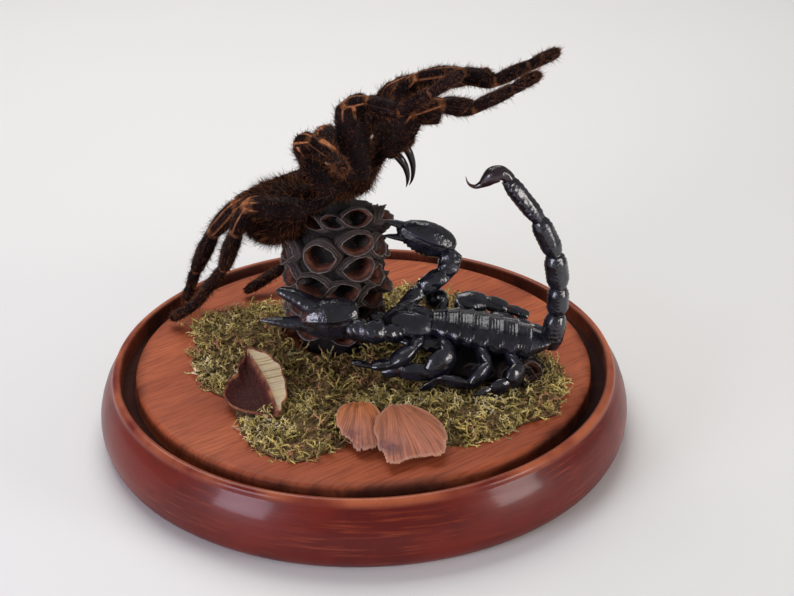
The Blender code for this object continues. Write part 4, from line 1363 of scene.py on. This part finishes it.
def build_scorpion_tail(settings):
    look = chitin(settings, "tail_chitin", 0.8)

    def keels(i, t, a):
        # Four granulated keels; the last segment carries a row of teeth on its outer side.
        k = cos(4 * a)
        grain = 0.55 + 0.45 * sin(2 * pi * 8 * t + 2 * i)
        raised = 0.26 * max(0.0, k) ** 4 * grain
        dents = 0.05 * sin(5 * a + 7 * t + i)
        if i == 4:
            outer = max(0.0, cos(a + pi / 2 - 0.25)) ** 10
            raised += 1.0 * outer * max(0.0, sin(2 * pi * 10 * t)) * min(1.0, 4 * t)
        return raised + dents - 0.12

    bm = bmesh.new()
    limb(bm, TAIL_JOINTS, TAIL_RADII, tail_swell, around=48, rows=40, relief=keels,
         up=(0, 1, 0))
    shelled("scorpion_tail_segments", bm, look, "scorpion_tail", TAIL_JOINTS[1:-1], 1.9)
    sting = ((51.4, -5.0, 97.4, 1.9), (49.4, -5.0, 99.2, 2.3), (47.6, -5.0, 99.9, 2.8),
             (45.2, -5.0, 99.0, 3.0), (43.0, -5.0, 97.1, 2.2), (41.4, -5.0, 95.8, 1.3),
             (39.4, -5.0, 95.0, 0.8), (37.6, -5.0, 95.6, 0.5), (36.6, -5.0, 97.0, 0.3),
             (36.1, -5.0, 98.8, 0.08))
    bm = bmesh.new()
    rope(bm, sting, around=24, rows=7,
         relief=lambda t, a: 0.10 * sin(5 * a + 24 * t) * max(0.0, 1 - 1.8 * t))
    shelled("scorpion_sting", bm, chitin(settings, "sting_chitin", 0.6, 0.30),
            "scorpion_stinger", ((38.5, -5, 95.2),), 2.4)


def build_scorpion_claws(settings):
    look = chitin(settings, "claw_chitin", 1.2)

    def arm_swell(i, t):
        return 0.84 + 0.24 * min(1.0, min(t, 1 - t) / 0.3) ** 0.7

    def arm_relief(i, t, a):
        edge = max(0.0, cos(3 * a + 0.7)) ** 5
        return 0.55 * edge * (0.7 + 0.3 * sin(40 * t)) + 0.18 * sin(11 * t + 4 * a) - 0.1

    arms = {
        "left": (((14.0, -14.6, 43.4), (7.4, -17.2, 45.2), (1.0, -16.6, 45.8),
                  (-4.4, -12.4, 44.8)), (3.0, 3.9, 3.8)),
        "right": (((13.4, -1.4, 45.2), (21.2, 5.0, 50.6), (29.6, 7.2, 55.6),
                   (32.6, 10.2, 62.4)), (2.7, 3.3, 3.7)),
    }
    for side, (joints, radii) in arms.items():
        bm = bmesh.new()
        limb(bm, joints, radii, arm_swell, around=36, rows=20, relief=arm_relief)
        shelled("scorpion_arm_%s_segments" % side, bm, look, "scorpion_arm_" + side,
                joints[1:], 2.2)

    def hand(seed, teeth, blunt):
        def shape(p, unit_point):
            ux, uy, uz = unit_point
            # A swollen palm that narrows to where the fingers start.
            ring = max(0.05, 1 - ux * ux) ** 0.5
            palm = max(0.0, 1 - abs((ux - 0.1) / 1.1) ** 2.6) ** 0.5
            wide = (blunt * palm + (1 - blunt) * ring) / ring if abs(ux) < 0.985 else 1.0
            wide *= 1 - 0.22 * max(0.0, -ux)
            q = Vector((p.x, p.y * wide, p.z * wide))
            q *= 1 + 0.016 * rough(q, 0.9, seed) + 0.03 * rough(q, 2.6, seed)
            edge = exp(-(((uz + 0.75) / 0.25) ** 2)) * teeth
            q.z -= 0.6 * edge * max(0.0, sin(3.6 * p.x)) * (ux < 0.3)
            keel = 0.4 * exp(-(((uz - 0.25) / 0.09) ** 2))
            q.y += keel * (1 if uy > 0 else -1) * (1 - ux * ux)
            return q
        return shape

    bm = bmesh.new()
    blob(bm, (-11.6, -10.8, 47.4), (10.8, 5.8, 7.8), (0, radians(-4), 0),
         hand(1.0, 0.2, 0.8), 80, 64)
    shelled("scorpion_claw_left_hand", bm, look, "scorpion_claw_left",
            ((-3.6, -14.0, 45.0), (-20.2, -13.6, 50.0)), 3.4)
    bm = bmesh.new()
    blob(bm, (22.8, 12.6, 67.0), (11.2, 5.2, 6.2), (0, radians(24), 0),
         hand(2.0, 1.0, 0.45), 80, 64)
    shelled("scorpion_claw_right_hand", bm, look, "scorpion_claw_right")
    fingers = {
        "left_lower": ((-15.6, -11.0, 45.6, 3.6), (-21.0, -11.0, 46.0, 3.2),
                       (-25.4, -11.2, 46.4, 2.7), (-29.6, -11.2, 46.8, 2.0),
                       (-33.4, -11.0, 47.2, 1.1), (-36.0, -10.8, 47.2, 0.15)),
        "left_upper": ((-13.4, -9.4, 49.6, 4.6), (-17.6, -8.8, 51.6, 4.2),
                       (-22.0, -7.8, 54.0, 3.5), (-25.6, -7.2, 55.6, 2.9),
                       (-28.4, -7.0, 56.6, 2.0), (-29.8, -7.0, 56.8, 0.4)),
        "right_upper": ((19.4, 12.8, 69.6, 2.6), (16.0, 12.8, 71.2, 2.1),
                        (12.8, 12.8, 72.5, 1.7), (10.2, 12.6, 73.4, 1.2),
                        (8.4, 12.4, 73.8, 0.7), (6.8, 12.2, 73.6, 0.12)),
        "right_lower": ((18.6, 11.8, 67.0, 2.3), (15.0, 11.6, 67.6, 1.8),
                        (11.6, 11.4, 68.2, 1.3), (9.2, 11.2, 68.6, 0.8),
                        (7.0, 11.0, 68.8, 0.1)),
    }
    for side, points in fingers.items():
        bm = bmesh.new()
        rope(bm, points, around=24, rows=8, flat=0.8,
             relief=lambda t, a: 0.16 * max(0.0, cos(2 * a)) ** 4 * sin(60 * t) * (1 - t) - 0.02)
        shelled("scorpion_finger_%s_blade" % side, bm, look, "scorpion_finger_" + side)


SCORPION_LEGS = {
    "left_1": ((19.6, -15.0, 41.0), (17.4, -20.2, 40.2), (10.4, -22.6, 36.0), (3.2, -22.8, 35.2),
               (-3.6, -22.0, 36.4)),
    "left_2": ((28.4, -15.6, 40.4), (30.4, -21.2, 38.8), (23.6, -24.2, 32.6), (13.2, -23.4, 33.6),
               (7.0, -22.4, 31.8)),
    "left_3": ((40.8, -15.8, 37.4), (43.6, -21.4, 34.4), (37.2, -25.8, 28.8), (26.6, -26.2, 31.6),
               (20.4, -26.0, 27.2)),
    "left_4": ((50.6, -15.0, 34.4), (55.0, -20.6, 32.2), (50.8, -25.4, 28.8), (44.6, -27.8, 28.0),
               (39.0, -30.6, 26.8)),
    "right_1": ((17.8, -0.4, 40.2), (19.4, 6.0, 40.6), (16.8, 12.2, 36.4), (17.0, 19.0, 32.2),
                (18.4, 25.0, 31.0)),
    "right_2": ((27.0, 1.2, 40.6), (29.6, 7.0, 44.2), (24.0, 11.4, 44.0), (24.4, 18.0, 36.6),
                (25.4, 25.0, 31.2)),
    "right_3": ((36.0, 1.6, 39.4), (34.0, 8.6, 43.0), (44.0, 11.0, 41.6), (52.0, 11.6, 38.8),
                (59.8, 11.6, 35.6)),
    "right_4": ((48.0, 1.2, 36.2), (46.6, 6.6, 37.6), (54.0, 7.4, 35.2), (60.0, 7.2, 33.6),
                (64.6, 6.6, 32.6)),
}


def build_scorpion_legs(settings):
    look = chitin(settings, "leg_chitin", 0.8)

    def swell(i, t):
        return (0.80 + 0.34 * min(1.0, min(t, 1 - t) / 0.35) ** 0.8) * (1.12 if i == 1 else 1.0)

    def relief(i, t, a):
        keel = 0.30 * max(0.0, cos(2 * a)) ** 3 * (0.8 + 0.2 * sin(34 * t))
        return keel + 0.08 * sin(13 * t + 3 * a)

    for side, joints in SCORPION_LEGS.items():
        bm = bmesh.new()
        near = side.startswith("left")
        limb(bm, joints, (3.3, 3.8, 2.9, 1.7) if near else (2.8, 3.2, 2.6, 1.6), swell,
             around=24, rows=14, relief=relief, flat=0.62, up=(0.0, 0.85, 0.5))
        shelled("scorpion_leg_%s_segments" % side, bm, look, "scorpion_leg_" + side,
                joints[1:-1], 1.9)
    for side, y in (("left", -10.6), ("right", -5.4)):
        bm = bmesh.new()
        blob(bm, (5.0, y, 44.2), (3.6, 2.4, 2.8), around=24, along=18,
             shape=lambda p, unit_point: p * (1 + 0.08 * rough(p, 1.0)))
        shelled("scorpion_jaw_" + side, bm, look, "scorpion_chelicera_" + side)


# Floor, light and camera.

CAMERA_PLACE = (12.3, -591.95, 368.2)
CAMERA_DROP = radians(28.289)
CAMERA_ROLL = radians(-0.677)
PIXEL_FOCUS = 1900.0
PHOTO_WIDTH = 794
SENSOR_WIDTH = 36.0
# The point that all lights face, and half the width of the floor and of the wall in metres.
AIM = (0, 0, 40)
HALF_ROOM = 3.0


def area_light(name, place, size, power, colour):
    """A soft rectangular light, placed and sized in mm."""
    data = bpy.data.lights.new(name, "AREA")
    data.shape = "RECTANGLE"
    data.size, data.size_y = (s * MM for s in size)
    data.energy, data.color = power, colour
    light = bpy.data.objects.new(name, data)
    bpy.context.scene.collection.objects.link(light)
    light.location = Vector(place) * MM
    facing = (Vector(AIM) - Vector(place)).normalized()
    light.rotation_euler = facing.to_track_quat("-Z", "Y").to_euler()


def plain_surface(name, colour):
    """A matt surface of one colour, very faintly clouded."""
    look = Look(name, roughness=0.6)
    faint = look.noise(look.place(), 6.0, 2.0)
    shade = tuple(0.96 * c for c in colour)
    return look.set(Base_Color=look.mix(faint, shade, colour))


def stage_plane(name, material, turn, away):
    """A square of the stage, turned about X and moved away from the camera."""
    bm = bmesh.new()
    bmesh.ops.create_grid(bm, x_segments=1, y_segments=1, size=HALF_ROOM)
    bmesh.ops.rotate(bm, verts=bm.verts, cent=(0, 0, 0), matrix=Matrix.Rotation(turn, 3, "X"))
    bmesh.ops.translate(bm, verts=bm.verts, vec=(0, away, 0))
    mesh = bpy.data.meshes.new(name)
    bm.to_mesh(mesh)
    bm.free()
    mesh.materials.append(material)
    plane = bpy.data.objects.new(name, mesh)
    bpy.context.scene.collection.objects.link(plane)


def build_stage(settings):
    stage_plane("floor", plain_surface("pale_floor", settings.floor_colour), 0.0, 0.0)
    stage_plane("wall", plain_surface("pale_wall", settings.wall_colour), pi / 2,
                settings.wall_distance)
    world = bpy.context.scene.world or bpy.data.worlds.new("room")
    bpy.context.scene.world = world
    world.use_nodes = True
    sky = world.node_tree.nodes["Background"]
    sky.inputs["Color"].default_value = (1.0, 0.97, 0.97, 1.0)
    sky.inputs["Strength"].default_value = settings.room_light
    area_light("window_left", (-580, -520, 230), (300, 340), settings.left_light,
               (0.83, 0.82, 1.0))
    area_light("window_right", (700, -380, 180), (280, 300), settings.right_light,
               (1.0, 0.95, 0.93))
    area_light("skylight", (-120, 420, 760), (700, 500), settings.top_light,
               (1.0, 0.99, 0.97))
    data = bpy.data.cameras.new("camera")
    data.sensor_width = SENSOR_WIDTH
    data.lens = PIXEL_FOCUS / PHOTO_WIDTH * data.sensor_width
    data.clip_end = 20.0
    camera = bpy.data.objects.new("camera", data)
    bpy.context.scene.collection.objects.link(camera)
    tilt = Matrix.Rotation(pi / 2 - CAMERA_DROP, 4, "X") @ Matrix.Rotation(CAMERA_ROLL, 4, "Z")
    camera.matrix_world = Matrix.Translation(Vector(CAMERA_PLACE) * MM) @ tilt
    bpy.context.scene.camera = camera
    bpy.context.scene.view_settings.view_transform = "Standard"


# Settings, with one group for each kind of piece.

def tint(name, about, default):
    return FloatVectorProperty(name=name, description=about, subtype="COLOR", size=3,
                               min=0.0, max=1.0, default=default)


class BaseSettings(bpy.types.PropertyGroup):
    turned_steps: IntProperty(name="Turned steps", description="Steps of the turned base",
                              default=192, min=48, max=360)
    plateau_light: tint("Top light", "Light grain of the top", (0.46, 0.118, 0.046))
    plateau_dark: tint("Top dark", "Dark grain of the top", (0.335, 0.074, 0.029))
    plateau_deep: tint("Top deep", "Darkest grain of the top", (0.15, 0.026, 0.010))
    rim_stain_and_shade: tint("Rim", "Stain of the rim, darkened by painted shade of its side", (0.150, 0.014, 0.008))
    rim_deep: tint("Rim deep", "Darker patches of the rim", (0.080, 0.008, 0.006))
    rim_worn: tint("Rim worn", "Worn streaks of the rim", (0.34, 0.060, 0.020))
    rim_edge: tint("Rim edge", "Rubbed edge of the rim", (0.42, 0.11, 0.045))
    groove_stain_and_shade: tint("Groove", "Pooled stain and painted shade in the groove, and the pores", (0.012, 0.003, 0.003))


class PlantSettings(bpy.types.PropertyGroup):
    moss_strands: IntProperty(name="Moss strands", description="Strands in the moss mat",
                              default=5600, min=600, max=9000)
    moss_brown: tint("Moss brown", "Dead strands", (0.74, 0.37, 0.21))
    moss_dark: tint("Moss dark", "Shaded strands", (0.44, 0.29, 0.13))
    moss_green: tint("Moss green", "Green strands", (0.74, 0.60, 0.18))
    moss_yellow: tint("Moss yellow", "Yellow-green strands", (1.0, 0.82, 0.34))
    moss_pale: tint("Moss pale", "Dry pale strands", (1.0, 0.88, 0.62))
    moss_shade: tint("Moss shade", "Painted shade at the foot of a moss strand and in its hollows", (0.06, 0.046, 0.016))
    bed_dark: tint("Moss bed dark", "Hollows of the moss bed", (0.04, 0.028, 0.012))
    bed_light: tint("Moss bed light", "Dry crumbs of the moss bed", (0.27, 0.175, 0.08))
    cone_dark_and_shade: tint("Cone dark", "Dark weathering of the cone, and painted shade in its creases", (0.012, 0.008, 0.007))
    cone_deep_shade: tint("Cone deep", "Painted shade at the bottom of the hollows", (0.007, 0.004, 0.004))
    cone_rim: tint("Cone layers", "Thin edges of the outer layers", (0.16, 0.115, 0.10))
    cone_grey: tint("Cone grey", "Weathered valves", (0.050, 0.031, 0.026))
    cone_edge: tint("Cone edge", "Thin edges of the valves", (0.36, 0.285, 0.26))
    cone_ledge: tint("Cone ledge", "Ledge inside the lips", (0.30, 0.105, 0.062))
    cone_inside: tint("Cone inside", "Inner walls", (0.14, 0.040, 0.024))
    fibre: tint("Fibres", "Fibres between the valves", (0.20, 0.15, 0.13))
    twig_dark: tint("Twig dark", "Dark bark of the twigs", (0.03, 0.013, 0.010))
    twig_light: tint("Twig light", "Light bark of the twigs", (0.13, 0.055, 0.038))
    pod_hollow: tint("Pod hollow", "Inside of the hollow valve", (0.040, 0.009, 0.009))
    pod_warm: tint("Pod warm", "Warm brown of the pod", (0.13, 0.032, 0.020))
    pod_pale: tint("Pod pale", "Pale valve", (0.72, 0.58, 0.36))
    pod_line: tint("Pod line", "Lines across the pale valve", (0.36, 0.24, 0.12))
    pod_rim: tint("Pod rim", "Rim of the pod", (0.42, 0.17, 0.085))
    pod_grey: tint("Pod grey", "Greyed spots of the pale valve", (0.62, 0.58, 0.52))
    pod_back_dark: tint("Pod back dark", "Dark of the underside", (0.05, 0.03, 0.022))
    pod_back_light: tint("Pod back light", "Light of the underside", (0.16, 0.10, 0.075))
    bract_orange: tint("Bract orange", "Top of the left scale", (0.62, 0.19, 0.042))
    bract_pink: tint("Bract pink", "Pale lower part", (0.52, 0.19, 0.115))
    bract_tan: tint("Bract tan", "Body of the right scale", (0.49, 0.165, 0.078))
    bract_brown: tint("Bract brown", "Broad streaks", (0.23, 0.085, 0.048))
    bract_dark: tint("Bract dark", "Fine streaks", (0.11, 0.040, 0.025))
    bract_pale: tint("Bract pale", "Thin dry edge", (0.58, 0.33, 0.22))
    bract_violet: tint("Bract violet", "Stained patches", (0.105, 0.048, 0.055))


class SpiderSettings(bpy.types.PropertyGroup):
    leg_hairs: IntProperty(name="Leg hairs", description="Short hairs on each leg",
                           default=6800, min=200, max=12000)
    skin_dark: tint("Skin dark", "Dark skin", (0.004, 0.0022, 0.0030))
    skin_brown: tint("Skin brown", "Brown skin", (0.016, 0.008, 0.008))
    stripe: tint("Stripe", "Bare stripes of the legs", (0.42, 0.125, 0.034))
    membrane: tint("Membrane", "Joint membranes", (0.55, 0.25, 0.12))
    hair_black: tint("Hair black", "Roots of the dark hairs", (0.005, 0.0025, 0.002))
    hair_brown: tint("Hair brown", "Brown hairs", (0.030, 0.011, 0.007))
    hair_rust_and_glint: tint("Hair rust", "Rust tips, partly painted glints", (0.14, 0.058, 0.031))
    hair_gold_and_glint: tint("Hair gold", "Golden tips, partly painted rim light", (0.50, 0.20, 0.085))
    fang_black: tint("Fang black", "Black of the fangs", (0.004, 0.004, 0.005))
    fang_brown: tint("Fang brown", "Brown streaks of the fangs", (0.014, 0.010, 0.011))


class ScorpionSettings(bpy.types.PropertyGroup):
    shell_black: tint("Shell", "Black shell", (0.0040, 0.0040, 0.0072))
    shell_dust_and_sheen: tint("Shell dull", "Dusty shell, tinted blue as painted sheen", (0.019, 0.019, 0.034))
    joint_red: tint("Joints", "Membranes at the joints", (0.10, 0.016, 0.010))
    sting_red: tint("Sting", "Reddish sting", (0.045, 0.010, 0.012))


class StageSettings(bpy.types.PropertyGroup):
    wall_distance: FloatProperty(name="Wall", description="Distance of the wall", unit="LENGTH",
                                 default=2.6, min=0.3)
    room_light: FloatProperty(name="Room light", description="Light of the room", default=0.32)
    left_light: FloatProperty(name="Left window", description="Power of the left window",
                              unit="POWER", default=3.6)
    right_light: FloatProperty(name="Right window", description="Power of the right window",
                               unit="POWER", default=3.0)
    top_light: FloatProperty(name="Skylight", description="Power of the light above",
                             unit="POWER", default=5.4)
    floor_colour: tint("Floor", "Pale floor", (0.78, 0.78, 0.77))
    wall_colour: tint("Wall", "Pale wall", (0.80, 0.77, 0.77))


class SpecimenSettings(bpy.types.PropertyGroup):
    base: PointerProperty(type=BaseSettings, name="Base", description="The turned base")
    plants: PointerProperty(type=PlantSettings, name="Plants", description="Moss and cones")
    spider: PointerProperty(type=SpiderSettings, name="Tarantula", description="The tarantula")
    scorpion: PointerProperty(type=ScorpionSettings, name="Scorpion", description="The scorpion")
    stage: PointerProperty(type=StageSettings, name="Stage", description="Floor and light")


class SPECIMEN_OT_stage(bpy.types.Operator):
    """Adds the floor, the wall, the lights and the camera"""
    bl_idname = "specimen.stage"
    bl_label = "Stage"

    def execute(self, context):
        build_stage(context.scene.specimens.stage)
        return {"FINISHED"}


class SPECIMEN_OT_base(bpy.types.Operator):
    """Adds the turned wooden base with its groove"""
    bl_idname = "specimen.base"
    bl_label = "Turned base"

    def execute(self, context):
        build_base(context.scene.specimens.base)
        return {"FINISHED"}


class SPECIMEN_OT_moss(bpy.types.Operator):
    """Adds the moss mat and its strands"""
    bl_idname = "specimen.moss"
    bl_label = "Moss"

    def execute(self, context):
        build_moss(context.scene.specimens.plants)
        return {"FINISHED"}


class SPECIMEN_OT_standing_cone(bpy.types.Operator):
    """Adds the standing cone with its gaping follicles"""
    bl_idname = "specimen.standing_cone"
    bl_label = "Standing cone"

    def execute(self, context):
        build_standing_cone(context.scene.specimens.plants)
        return {"FINISHED"}


class SPECIMEN_OT_lying_cone(bpy.types.Operator):
    """Adds the cone that lies under the scorpion"""
    bl_idname = "specimen.lying_cone"
    bl_label = "Lying cone"

    def execute(self, context):
        build_lying_cone(context.scene.specimens.plants)
        return {"FINISHED"}


class SPECIMEN_OT_seed_pod(bpy.types.Operator):
    """Adds the split seed pod"""
    bl_idname = "specimen.seed_pod"
    bl_label = "Seed pod"

    def execute(self, context):
        build_seed_pod(context.scene.specimens.plants)
        return {"FINISHED"}


class SPECIMEN_OT_bracts(bpy.types.Operator):
    """Adds the two dry bract scales"""
    bl_idname = "specimen.bracts"
    bl_label = "Bract scales"

    def execute(self, context):
        build_bracts(context.scene.specimens.plants)
        return {"FINISHED"}


class SPECIMEN_OT_spider_body(bpy.types.Operator):
    """Adds the tarantula's carapace and abdomen with their coat"""
    bl_idname = "specimen.spider_body"
    bl_label = "Tarantula body"

    def execute(self, context):
        build_spider_body(context.scene.specimens.spider)
        return {"FINISHED"}


class SPECIMEN_OT_spider_legs(bpy.types.Operator):
    """Adds the tarantula's eight legs with their coat"""
    bl_idname = "specimen.spider_legs"
    bl_label = "Tarantula legs"

    def execute(self, context):
        build_spider_legs(context.scene.specimens.spider)
        return {"FINISHED"}


class SPECIMEN_OT_spider_jaws(bpy.types.Operator):
    """Adds the tarantula's palps, jaws and fangs"""
    bl_idname = "specimen.spider_jaws"
    bl_label = "Tarantula jaws"

    def execute(self, context):
        build_spider_jaws(context.scene.specimens.spider)
        return {"FINISHED"}


class SPECIMEN_OT_scorpion_body(bpy.types.Operator):
    """Adds the scorpion's head shield and back plates"""
    bl_idname = "specimen.scorpion_body"
    bl_label = "Scorpion body"

    def execute(self, context):
        build_scorpion_body(context.scene.specimens.scorpion)
        return {"FINISHED"}


class SPECIMEN_OT_scorpion_tail(bpy.types.Operator):
    """Adds the scorpion's tail and sting"""
    bl_idname = "specimen.scorpion_tail"
    bl_label = "Scorpion tail"

    def execute(self, context):
        build_scorpion_tail(context.scene.specimens.scorpion)
        return {"FINISHED"}


class SPECIMEN_OT_scorpion_claws(bpy.types.Operator):
    """Adds the scorpion's arms, claws and fingers"""
    bl_idname = "specimen.scorpion_claws"
    bl_label = "Scorpion claws"

    def execute(self, context):
        build_scorpion_claws(context.scene.specimens.scorpion)
        return {"FINISHED"}


class SPECIMEN_OT_scorpion_legs(bpy.types.Operator):
    """Adds the scorpion's legs and jaws"""
    bl_idname = "specimen.scorpion_legs"
    bl_label = "Scorpion legs"

    def execute(self, context):
        build_scorpion_legs(context.scene.specimens.scorpion)
        return {"FINISHED"}


OPERATORS = (
    SPECIMEN_OT_stage, SPECIMEN_OT_base, SPECIMEN_OT_moss, SPECIMEN_OT_standing_cone,
    SPECIMEN_OT_lying_cone, SPECIMEN_OT_seed_pod, SPECIMEN_OT_bracts, SPECIMEN_OT_spider_body,
    SPECIMEN_OT_spider_legs, SPECIMEN_OT_spider_jaws, SPECIMEN_OT_scorpion_body,
    SPECIMEN_OT_scorpion_tail, SPECIMEN_OT_scorpion_claws, SPECIMEN_OT_scorpion_legs,
)


class SPECIMEN_PT_panel(bpy.types.Panel):
    """Lists the operators that build the display"""
    bl_idname = "SPECIMEN_PT_panel"
    bl_label = "Mounted specimens"
    bl_space_type = "VIEW_3D"
    bl_region_type = "UI"
    bl_category = "Specimens"

    def draw(self, context):
        for operator in OPERATORS:
            self.layout.operator(operator.bl_idname)


GROUPS = (BaseSettings, PlantSettings, SpiderSettings, ScorpionSettings, StageSettings,
          SpecimenSettings)


def register():
    for each in (*GROUPS, *OPERATORS, SPECIMEN_PT_panel):
        bpy.utils.register_class(each)
    bpy.types.Scene.specimens = PointerProperty(type=SpecimenSettings)


def unregister():
    del bpy.types.Scene.specimens
    for each in reversed((*GROUPS, *OPERATORS, SPECIMEN_PT_panel)):
        bpy.utils.unregister_class(each)


def main():
    register()
    for operator in OPERATORS:
        name = operator.bl_idname.split(".")[1]
        getattr(bpy.ops.specimen, name)()


if __name__ == "__main__":
    main()
